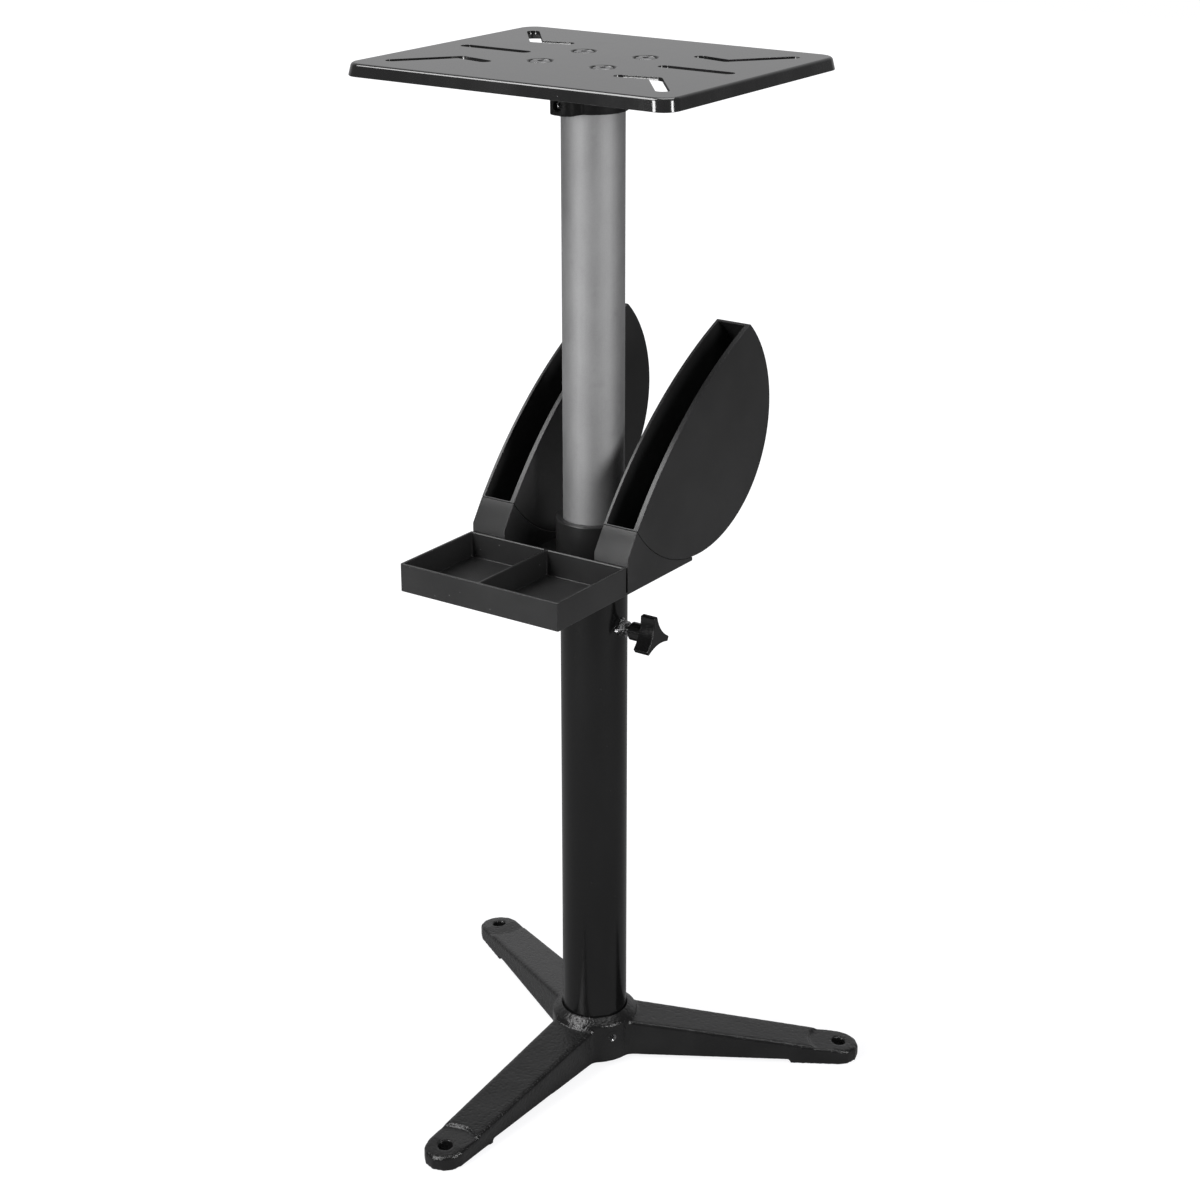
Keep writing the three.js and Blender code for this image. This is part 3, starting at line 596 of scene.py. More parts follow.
    @staticmethod
    def cast(node: bpy.types.Object, name: str, voxel: float, grain: float) -> bpy.types.Object:
        """A sand-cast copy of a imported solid: its corners soften and its skin turns grainy.

        Args:
            node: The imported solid.
            name: The piece's name.
            voxel: The size of the finest feature it keeps.
            grain: How far the skin swells and sinks.

        Returns:
            The new object.
        """
        piece = Bench.merged(node, name)
        Bench.apply(piece, "REMESH", mode="VOXEL", voxel_size=voxel)
        Bench.apply(piece, "SMOOTH", factor=0.5, iterations=5)
        sand = bpy.data.textures.new(name + "_sand", "CLOUDS")
        sand.noise_scale = 2.2 * voxel
        sand.noise_depth = 2
        Bench.apply(piece, "DISPLACE", texture=sand, texture_coords="LOCAL", strength=grain, mid_level=0.5)
        Bench.pick(piece)
        bpy.ops.object.shade_smooth()
        return piece


def arc(centre: Point, radius: float, start: float, end: float, steps: int) -> list[Point]:
    """Points along an arc.

    Args:
        centre: The arc's centre.
        radius: Its radius.
        start: The angle of its first point, in radians.
        end: The angle of its last point.
        steps: How many parts it is divided into.

    Returns:
        The points, ends included.
    """
    angles = [start + (end - start) * i / steps for i in range(steps + 1)]
    return [(centre[0] + radius * math.cos(a), centre[1] + radius * math.sin(a)) for a in angles]


def rounded_box(left: float, right: float, front: float, back: float, radius: float, steps: int) -> list[Point]:
    """The outline of a rectangle with rounded corners, counter-clockwise."""
    centres = [(right - radius, back - radius), (left + radius, back - radius)]
    centres += [(left + radius, front + radius), (right - radius, front + radius)]
    points: list[Point] = []
    for i, centre in enumerate(centres):
        points += arc(centre, radius, i * QUARTER_TURN, (i + 1) * QUARTER_TURN, steps)
    return points


def flat(points: Sequence[Point], height: float) -> list[Vector]:
    """Points of a plan, at a height."""
    return [Vector((x, y, height)) for x, y in points]


def side_view(points: Sequence[Point], across: float) -> list[Vector]:
    """Points of a side view in Y and Z, at a place across X."""
    return [Vector((across, y, z)) for y, z in points]


def facing(direction: Vector, at: Vector) -> Matrix:
    """The placing that turns +Z to a direction and moves the origin to a point."""
    return Matrix.Translation(at) @ direction.to_track_quat("Z", "X").to_matrix().to_4x4()


def hexagon(across_flats: float) -> list[Point]:
    """The corners of a hexagon."""
    radius = across_flats / math.sqrt(3)
    return arc((0, 0), radius, math.pi / 6, math.pi / 6 + FULL_TURN, 6)[:-1]


def hex_socket(across_flats: float, bottom: float, top: float) -> bpy.types.Object:
    """A tool for a hexagon socket along Z."""
    return Bench.pull("hex_socket", flat(hexagon(across_flats), bottom), UP * (top - bottom))


def thread(piece: bpy.types.Object, radius: float, pitch: float, start: float, end: float) -> None:
    """Winds a thread along Z into the rings of a turned rod.

    Args:
        piece: A rod about Z with close rings between start and end.
        radius: The rod's radius.
        pitch: The thread's pitch.
        start: Where it starts.
        end: Where it ends.
    """
    depth = 0.54 * pitch
    for point in piece.data.vertices:
        reach = Vector(point.co.xy)
        if start < point.co.z < end and abs(reach.length - radius) < PLACE_TOLERANCE:
            phase = (point.co.z / pitch - math.atan2(reach.y, reach.x) / FULL_TURN) % 1
            sink = depth * min(1.0, 1.15 * abs(2 * phase - 1))
            point.co.xy = reach * (radius - sink) / radius


def rings(radius: float, start: float, end: float, pitch: float, per_pitch: int = 10) -> list[Point]:
    """Section points of a rod that is to be threaded."""
    count = round((end - start) / pitch * per_pitch)
    return [(radius, start + (end - start) * i / count) for i in range(count + 1)]


# Sub-assemblies


@dataclass
class SubAssembly:
    """A group of pieces that share the frame and the paints."""

    frame: dict
    paints: dict[Paintwork, bpy.types.Material]

    def settle(self, piece: bpy.types.Object, paint: Paintwork, body: str, *nodes: str) -> bpy.types.Object:
        """Paints a finished piece and hands it to its body.

        Args:
            piece: The finished piece.
            paint: Its finish.
            body: The body that carries it.
            nodes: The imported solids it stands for.

        Returns:
            The piece.
        """
        piece.data.materials.clear()
        piece.data.materials.append(self.paints[paint])
        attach(piece, body)
        if nodes:
            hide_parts(*nodes)
        LOG.info("%s: %d faces on %s", piece.name, len(piece.data.polygons), body)
        return piece

    def solid(self, node: str) -> bpy.types.Object:
        """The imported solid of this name."""
        return self.frame["nodes"][node]


@dataclass
class SetScrew:
    """A socket set screw with a chamfered mouth."""

    radius: float = 0.004
    chamfer: float = 0.0008
    socket: float = 0.004
    socket_depth: float = 0.0042
    steps: int = 40

    def make(self, name: str, length: float, matrix: Matrix) -> bpy.types.Object:
        """Turns the screw along Z, point first, and places it.

        Args:
            name: The piece's name.
            length: Its length.
            matrix: Its place.

        Returns:
            The screw.
        """
        rim = self.radius - self.chamfer
        section = [(0, 0), (rim, 0), (self.radius, self.chamfer), (self.radius, length - self.chamfer)]
        piece = Bench.turn(name, [*section, (rim, length), (0, length)], self.steps)
        Bench.cut(piece, hex_socket(self.socket, length - self.socket_depth, length + CUT_MARGIN))
        Bench.ease(piece, 0.0002, 2)
        Bench.shade(piece)
        return Bench.move(piece, matrix)


@dataclass
class CastBase(SubAssembly):
    """The three-legged casting and the screw in its hub."""

    voxel: float = 0.0014
    grain: float = 0.00022
    hub_radius: float = 0.040
    screw_angle: float = math.radians(-30)
    screw_height: float = 0.0287
    screw_length: float = 0.008
    screw_tip: float = 0.0303
    mouth_hole: float = 0.0021
    mouth_rim: float = 0.0036
    mouth_edge: float = 0.0072
    mouth_root: float = 0.0044
    mouth_depth: float = 0.0011

    def build(self) -> None:
        """Makes the casting, its screw and the bare metal round the screw's mouth."""
        casting = Bench.cast(self.solid("base_casting"), "tripod_casting", self.voxel, self.grain)
        for point in casting.data.vertices:
            point.co.z = max(0.0, point.co.z)
        self.settle(casting, Paintwork.CAST, "base", "base_casting")
        outward = Vector((math.cos(self.screw_angle), math.sin(self.screw_angle), 0))
        centre = UP * self.screw_height
        tip = facing(outward, centre + outward * self.screw_tip)
        screw = SetScrew().make("hub_set_screw", self.screw_length, tip)
        self.settle(screw, Paintwork.DARK, "base", "base_set_screw")
        self.mouth(outward, centre)

    def mouth(self, outward: Vector, centre: Vector) -> None:
        """The enamel that has run into the screw's mouth, and the worn ring round the hole left in it."""
        deep = -2 * self.mouth_depth
        ring = [(self.mouth_hole, -self.mouth_depth), (self.mouth_rim, 0), (self.mouth_rim, deep)]
        fill = [(self.mouth_rim, 0), (self.mouth_edge, 0), (self.mouth_root, deep), (self.mouth_rim, deep)]
        pieces = (("hub_mouth_ring", [*ring, (self.mouth_hole, deep)], Paintwork.DARK),)
        pieces += (("hub_mouth_fill", fill, Paintwork.CAST),)
        for name, section, paint in pieces:
            piece = Bench.turn(name, section, 40)
            for point in piece.data.vertices:
                point.co.z -= point.co.y**2 / (2 * self.hub_radius)
            Bench.shade(piece)
            Bench.move(piece, facing(outward, centre + outward * self.hub_radius))
            self.settle(piece, paint, "base")


@dataclass
class Column(SubAssembly):
    """The fixed outer tube and the sliding inner tube."""

    outer_radius: float = 0.030
    outer_wall: float = 0.0025
    outer_span: Point = (0.008, 0.534)
    inner_radius: float = 0.027
    inner_wall: float = 0.002
    inner_span: Point = (0.329, 0.924)
    clamp_height: float = 0.437
    clamp_hole: float = 0.0043
    seam_angle: float = math.radians(14)
    seam_rise: float = 0.00022
    end_round: float = 0.0005
    steps: int = 120

    def tube(self, name: str, radius: float, wall: float, span: Point) -> bpy.types.Object:
        """A tube with rounded ends.

        Args:
            name: The piece's name.
            radius: Its outside radius.
            wall: Its wall's thickness.
            span: The heights of its ends.

        Returns:
            The tube.
        """
        bottom, top = span
        bore = radius - wall
        piece = Bench.turn(name, [(bore, bottom), (radius, bottom), (radius, top), (bore, top)], self.steps)
        Bench.ease(piece, self.end_round, 3)
        return piece

    def build(self) -> None:
        """Makes both tubes."""
        outer = self.tube("outer_column", self.outer_radius, self.outer_wall, self.outer_span)
        hole = Bench.turn("clamp_hole", [(0, 0), (self.clamp_hole, 0), (self.clamp_hole, 0.04), (0, 0.04)], 32)
        Bench.move(hole, facing(Vector((1, 0, 0)), UP * self.clamp_height))
        Bench.cut(outer, hole)
        Bench.shade(outer)
        self.settle(outer, Paintwork.TUBE, "base", "outer_tube")
        inner = self.tube("inner_column", self.inner_radius, self.inner_wall, self.inner_span)
        self.seam(inner)
        Bench.shade(inner)
        self.settle(inner, Paintwork.STEEL, "column", "inner_tube")

    def seam(self, piece: bpy.types.Object) -> None:
        """Raises the line where the tube was welded shut."""
        half_step = math.pi / self.steps
        for point in piece.data.vertices:
            reach = Vector(point.co.xy)
            away = abs(math.atan2(reach.y, reach.x) - self.seam_angle)
            if away < half_step and abs(reach.length - self.inner_radius) < PLACE_TOLERANCE:
                point.co.xy = reach * (1 + self.seam_rise / self.inner_radius)


@dataclass
class HeightClamp(SubAssembly):
    """The welded nut, the stud and the three-lobed knob, drawn along Z and then turned to +X."""

    height: float = 0.437
    column_radius: float = 0.0303
    nut_across: float = 0.013
    nut_top: float = 0.0368
    nut_bore: float = 0.0043
    nut_chamfer: float = 0.0008
    bead_radius: float = 0.0024
    bead_length: float = 0.0052
    stud_radius: float = 0.004
    stud_pitch: float = 0.00125
    stud_span: Point = (0.0273, 0.0587)
    stud_chamfer: float = 0.001
    knob_back: float = 0.041
    boss_radius: float = 0.0083
    boss_length: float = 0.012
    lobe_depth: float = 0.015
    lobe_radius: float = 0.0192
    lobe_tip: float = 0.005
    waist_pull: float = 0.0048
    knob_turn: float = math.radians(187.7)
    knob_hole_depth: float = 0.018
    lobes: int = 3

    def placed(self) -> Matrix:
        """The clamp's place: its Z lies along +X, and its X points down."""
        return Matrix.Translation(UP * self.height) @ Matrix.Rotation(QUARTER_TURN, 4, "Y")

    def build(self) -> None:
        """Makes the nut, the stud and the knob."""
        parts = ((self.nut(), Paintwork.ZINC, "base", "clamp_nut"), (self.stud(), Paintwork.ZINC, "stud", "clamp_stud"))
        parts += ((self.knob(), Paintwork.KNOB, "knob", "clamp_knob"),)
        for piece, paint, body, node in parts:
            Bench.move(piece, self.placed())
            self.settle(piece, paint, body, node)

    def nut(self) -> bpy.types.Object:
        """A chamfered nut, seated on the tube by three weld beads."""
        foot = 0.0285
        piece = Bench.pull("welded_nut", flat(hexagon(self.nut_across), foot), UP * (self.nut_top - foot))
        corner = self.nut_across / math.sqrt(3)
        cone = [(0, 0), (corner, 0), (corner, self.nut_top - self.nut_chamfer * 0.6)]
        cone += [(self.nut_across / 2 - self.nut_chamfer * 0.2, self.nut_top), (0, self.nut_top)]
        Bench.shape_with(piece, Bench.turn("nut_cone", cone, 48), "INTERSECT")
        for angle in (math.pi, QUARTER_TURN, -QUARTER_TURN):
            Bench.join(piece, self.bead(angle))
        column = Bench.turn("column_seat", [(0, -0.03), (self.column_radius, -0.03), (self.column_radius, 0.03), (0, 0.03)], 120)
        Bench.cut(piece, Bench.move(column, Matrix.Rotation(QUARTER_TURN, 4, "Y")))
        bore = [(0, 0), (self.nut_bore, 0), (self.nut_bore, self.nut_top - self.nut_chamfer)]
        bore += [(self.nut_bore + self.nut_chamfer, self.nut_top), (self.nut_bore + self.nut_chamfer, 0.04), (0, 0.04)]
        Bench.cut(piece, Bench.turn("nut_bore", bore, 40))
        Bench.shade(piece)
        return piece

    def bead(self, angle: float) -> bpy.types.Object:
        """A lumpy weld bead at one side of the nut.

        Args:
            angle: The side of the nut, about its axis.

        Returns:
            The bead.
        """
        Bench.clear()
        bpy.ops.mesh.primitive_ico_sphere_add(subdivisions=4, radius=self.bead_radius)
        bead = bpy.context.object
        ripple = 2600.0
        for point in bead.data.vertices:
            swell = 1 + 0.10 * math.sin(ripple * point.co.y) + 0.05 * math.sin(ripple * 1.7 * point.co.x + angle)
            point.co *= swell
            point.co.y *= self.bead_length / self.bead_radius / 2
        out = self.nut_across / 2 + self.bead_radius * 0.5
        reach = abs(math.sin(angle)) * self.nut_across / 2
        seat = math.sqrt(self.column_radius**2 - reach**2)
        Bench.move(bead, Matrix.Rotation(angle, 4, "Z") @ Matrix.Translation((out, 0, seat)))
        return bead

    def stud(self) -> bpy.types.Object:
        """The threaded stud."""
        tip, end = self.stud_span
        start = tip + self.stud_chamfer
        section = [(0, tip), (self.stud_radius - self.stud_chamfer, tip)]
        section += rings(self.stud_radius, start, end, self.stud_pitch)
        piece = Bench.turn("clamp_screw", [*section, (0, end)], 32)
        thread(piece, self.stud_radius, self.stud_pitch, start, self.knob_back)
        Bench.shade(piece, math.radians(50))
        return piece

    def knob(self) -> bpy.types.Object:
        """Three hollow-sided lobes on a round boss."""
        pitch = FULL_TURN / self.lobes
        spread = math.asin(self.lobe_tip / 2 / self.lobe_radius)
        points: list[Point] = []
        for i in range(self.lobes):
            lobe = self.knob_turn + i * pitch
            points += self.waist(lobe + spread, lobe + pitch - spread, lobe + pitch / 2)
        back = self.knob_back + self.boss_length
        piece = Bench.pull("three_lobe_knob", flat(points, back), UP * self.lobe_depth)
        top = back + self.lobe_depth
        Bench.ease(piece, 0.0009, 3)
        with Bench.editing(piece) as mesh:
            Bench.choose(piece, mesh.faces, lambda f: f.normal.z > 0.99 and f.calc_center_median().z > top - CUT_MARGIN)
            bpy.ops.mesh.inset(thickness=0.0012)
            bpy.ops.transform.translate(value=(0, 0, -0.0004))
        rim = self.boss_radius
        boss = [(0, self.knob_back), (rim - 0.0008, self.knob_back), (rim, self.knob_back + 0.0008)]
        boss += [(rim, back + 0.001), (rim - 0.0016, back + 0.0035), (0, back + 0.0035)]
        Bench.join(piece, Bench.turn("knob_boss", boss, 56))
        hole_end = self.knob_back + self.knob_hole_depth
        hole = [(0, self.knob_back - CUT_MARGIN), (self.nut_bore, self.knob_back - CUT_MARGIN)]
        Bench.cut(piece, Bench.turn("knob_hole", [*hole, (self.nut_bore, hole_end), (0, hole_end)], 32))
        Bench.shade(piece)
        return piece

    def waist(self, start: float, end: float, middle: float) -> list[Point]:
        """The hollow side between two lobes, as a curve pulled towards the axis.

        Args:
            start: The angle of the first lobe's edge.
            end: The angle of the next lobe's edge.
            middle: The angle between them.

        Returns:
            Points along the side.
        """
        first = Vector((math.cos(start), math.sin(start))) * self.lobe_radius
        last = Vector((math.cos(end), math.sin(end))) * self.lobe_radius
        pull = Vector((math.cos(middle), math.sin(middle))) * self.waist_pull
        shares = [i / 18 for i in range(19)]
        return [tuple(first * (1 - t) ** 2 + pull * 2 * t * (1 - t) + last * t**2) for t in shares]


@dataclass
class ToolTray(SubAssembly):
    """The tray moulding with its collar and saddles, and the two wheel pockets."""

    bottom: float = 0.5015
    half_width: float = 0.082
    front: float = -0.1694
    back: float = -0.070
    rim: float = 0.025
    wall: float = 0.0025
    corner: float = 0.0015
    collar_bore: float = 0.0303
    collar_radius: float = 0.0335
    collar_height: float = 0.0355
    collar_lip: float = 0.003
    lip_bore: float = 0.0275
    saddle_front: float = -0.068
    saddle_knee: float = 0.0319
    pocket_width: float = 0.0347
    pocket_wall: float = 0.0027
    right_cheek: float = 0.0045
    lip_wall: float = 0.001
    thinning_angle: float = math.radians(-112)
    back_centre: Point = (0.0526, 0.1132)
    back_radius: float = 0.1069
    tip_angle: float = math.radians(48.5)
    blend_angle: float = math.radians(-52.7)
    lower_radius: float = 0.1215
    front_angle: float = math.radians(-143.5)
    rim_radius: float = 0.434
    seat_gap: float = 0.0003
    tongue_depth: float = 0.009
    tongue_thickness: float = 0.002
    tongue_angles: Point = (math.radians(-135), math.radians(-114))
    edge_round: float = 0.0006
    rim_round: float = 0.0004
    floor_round: float = 0.0007

    def __post_init__(self) -> None:
        """Works out the arcs' centres and ends."""
        out = Vector((math.cos(self.blend_angle), math.sin(self.blend_angle)))
        shift = out * (self.back_radius - self.lower_radius)
        self.lower_centre: Point = tuple(Vector(self.back_centre) + shift)
        self.tip = arc(self.back_centre, self.back_radius, self.tip_angle, 0, 1)[0]
        self.lip = arc(self.lower_centre, self.lower_radius, self.front_angle, 0, 1)[0]
        self.inner_side = self.half_width - self.pocket_width

    def placed(self) -> Matrix:
        """The tray's height on the column."""
        return Matrix.Translation(UP * self.bottom)

    def build(self) -> None:
        """Makes the moulding and both pockets."""
        piece = self.box()
        Bench.join(piece, self.floor(), self.collar())
        for left in (-self.half_width, self.inner_side):
            Bench.join(piece, self.saddle(left))
        Bench.shade(piece)
        Bench.move(piece, self.placed())
        self.settle(piece, Paintwork.TRAY, "tray", "tool_tray")
        for side, left in (("left", -self.half_width), ("right", self.inner_side)):
            pocket = self.pocket("crescent_pocket_" + side, left)
            Bench.move(pocket, self.placed())
            self.settle(pocket, Paintwork.TRAY, "tray", "wheel_pocket_" + side)

    def box(self) -> bpy.types.Object:
        """The tray: a shell with two compartments, rounded in its corners and along its rims."""
        plan = rounded_box(-self.half_width, self.half_width, self.front, self.back, self.corner, 6)
        piece = Bench.pull("tool_tray_moulding", flat(plan, 0), UP * self.rim)
        Bench.ease(piece, self.edge_round, 3)
        half = self.wall / 2
        for left, right in ((-self.half_width + self.wall, -half), (half, self.half_width - self.wall)):
            Bench.cut(piece, self.room(left, right))
        return piece

    def room(self, left: float, right: float) -> bpy.types.Object:
        """A tool for one compartment: rounded at its floor and flared at its mouth.

        Args:
            left: The compartment's left side.
            right: Its right side.

        Returns:
            The tool.
        """
        front = self.front + self.wall
        back = self.back - self.wall
        plan = rounded_box(left, right, front, back, self.corner, 6)
        piece = Bench.pull("compartment", flat(plan, self.wall), UP * (self.rim - self.wall))
        low = self.wall + PLACE_TOLERANCE
        Bench.ease(piece, self.floor_round, 3, lambda e: max(v.co.z for v in e.verts) < low)
        flare = self.edge_round
        with Bench.editing(piece) as mesh:
            Bench.choose(piece, mesh.faces, lambda f: f.normal.z > 0.9 and f.calc_center_median().z > self.rim / 2)
            bpy.ops.transform.translate(value=(0, 0, -flare))
            centre = ((left + right) / 2, (front + back) / 2, 0)
            bpy.ops.mesh.extrude_region_move(TRANSFORM_OT_translate={"value": (0, 0, flare)})
            wider = 1 + 2 * flare / (right - left)
            deeper = 1 + 2 * flare / (back - front)
            bpy.ops.transform.resize(value=(wider, deeper, 1), center_override=centre)
            bpy.ops.mesh.extrude_region_move(TRANSFORM_OT_translate={"value": (0, 0, CUT_MARGIN)})
        return piece

    def floor(self) -> bpy.types.Object:
        """The plate behind the tray that carries the collar and the saddles."""
        plan = rounded_box(
            -self.half_width, self.half_width, self.back - self.wall / 2, self.collar_radius, self.corner, 6)
        piece = Bench.pull("tray_floor", flat(plan, 0), UP * self.wall)
        Bench.ease(piece, self.edge_round, 3)
        radius = (self.collar_bore + self.collar_radius) / 2
        hole = [(0, -CUT_MARGIN), (radius, -CUT_MARGIN), (radius, self.rim), (0, self.rim)]
        Bench.cut(piece, Bench.turn("floor_hole", hole, 96))
        return piece

    def collar(self) -> bpy.types.Object:
        """The collar that hangs on the tube's top by its lip."""
        under = self.collar_height - self.collar_lip
        round_over = arc((self.collar_radius - 0.0014, self.collar_height - 0.0014), 0.0014, 0, QUARTER_TURN, 6)
        inner = arc((self.lip_bore + 0.0008, self.collar_height - 0.0008), 0.0008, QUARTER_TURN, math.pi, 4)
        section = [(self.collar_bore, 0), (self.collar_radius, 0), *round_over, *inner]
        section += [(self.lip_bore, under), (self.collar_bore, under)]
        return Bench.turn("tray_collar", section, 120)

    def saddle(self, left: float) -> bpy.types.Object:
        """A hollow saddle with a slanted front strip and a top that follows the pocket.

        Args:
            left: The saddle's left side.

        Returns:
            The saddle.
        """
        radius = self.lower_radius + self.seat_gap
        back_angle = -math.acos((self.collar_radius - self.lower_centre[0]) / radius)
        profile = [(self.collar_radius, 0), *arc(self.lower_centre, radius, back_angle, self.front_angle, 28)]
        profile += [(self.saddle_front, self.saddle_knee), (self.saddle_front, 0)]
        piece = Bench.pull("saddle", side_view(profile, left), Vector((self.pocket_width, 0, 0)))
        Bench.ease(piece, self.edge_round, 3)
        Bench.cut(piece, self.saddle_room(left))
        return piece

    def saddle_room(self, left: float) -> bpy.types.Object:
        """A tool for the room inside a saddle, open above."""
        rise = self.lip[1] - self.saddle_knee
        run = self.lip[0] - self.saddle_front
        inset = self.wall * math.hypot(rise, run) / rise
        top = self.lip[1] + CUT_MARGIN
        front = self.saddle_front + self.wall
        back = self.collar_radius - self.wall
        profile = [(front, self.wall), (back, self.wall), (back, top)]
        profile += [(self.saddle_front + inset + (top - self.saddle_knee) * run / rise, top)]
        profile += [(front, self.saddle_knee + (self.wall - inset) * rise / run)]
        across = Vector((self.pocket_width - 2 * self.wall, 0, 0))
        return Bench.pull("saddle_room", side_view(profile, left + self.wall), across)

    def pocket(self, name: str, left: float) -> bpy.types.Object:
        """A crescent pocket: an open shell between two cheeks.

        Args:
            name: The piece's name.
            left: Its left side.

        Returns:
            The pocket.
        """
        piece = Bench.pull(name, side_view(self.crescent(), left), Vector((self.pocket_width, 0, 0)))
        Bench.cut(piece, self.pocket_room(left + self.pocket_wall))
        Bench.ease(piece, self.rim_round, 3)
        reach = self.wall + self.seat_gap
        for side in (left + reach, left + self.pocket_width - reach - self.tongue_thickness):
            Bench.join(piece, self.tongue(side))
        Bench.shade(piece)
        return piece

    def crescent(self) -> list[Point]:
        """A pocket's side view: a bowed rim, a wheel-sized back and a flatter underside."""
        half = (Vector(self.tip) - Vector(self.lip)) / 2
        depth = math.sqrt(self.rim_radius**2 - half.length_squared)
        centre = Vector(self.lip) + half + Vector((half.y, -half.x)).normalized() * depth
        start = math.atan2(self.lip[1] - centre.y, self.lip[0] - centre.x)
        end = math.atan2(self.tip[1] - centre.y, self.tip[0] - centre.x)
        points = arc(tuple(centre), self.rim_radius, start, end, 28)[:-1]
        points += arc(self.back_centre, self.back_radius, self.tip_angle, self.blend_angle, 48)[:-1]
        points += arc(self.lower_centre, self.lower_radius, self.blend_angle, self.front_angle, 44)[:-1]
        return points

    def pocket_room(self, left: float) -> bpy.types.Object:
        """A tool for the room inside a pocket, open past its rim."""
        past = Vector((self.lip[1] - self.tip[1], self.tip[0] - self.lip[0])).normalized() * self.back_radius
        over = 2 * self.pocket_wall / self.back_radius
        wall = self.pocket_wall
        profile = arc(self.back_centre, self.back_radius - wall, self.tip_angle + over, self.blend_angle, 48)[:-1]
        profile += arc(self.lower_centre, self.lower_radius - wall, self.blend_angle, self.thinning_angle, 30)[:-1]
        steps = 16
        for i in range(steps + 1):
            angle = self.thinning_angle + (self.front_angle - over - self.thinning_angle) * i / steps
            thickness = wall + (self.lip_wall - wall) * i / steps
            profile += arc(self.lower_centre, self.lower_radius - thickness, angle, angle, 1)[:1]
        profile += [tuple(Vector(self.lip) + past), tuple(Vector(self.tip) + past)]
        across = Vector((self.pocket_width - wall - self.right_cheek, 0, 0))
        piece = Bench.pull("pocket_room", side_view(profile, left), across)
        Bench.ease(piece, 0.0012, 3, lambda e: abs(e.verts[0].co.x - e.verts[1].co.x) < PLACE_TOLERANCE)
        return piece

    def tongue(self, left: float) -> bpy.types.Object:
        """A tongue that goes down inside a saddle's cheek."""
        start, end = self.tongue_angles
        profile = arc(self.lower_centre, self.lower_radius + self.tongue_depth, start, end, 10)
        profile += arc(self.lower_centre, self.lower_radius - self.lip_wall / 2, end, start, 10)
        return Bench.pull("tongue", side_view(profile, left), Vector((self.tongue_thickness, 0, 0)))


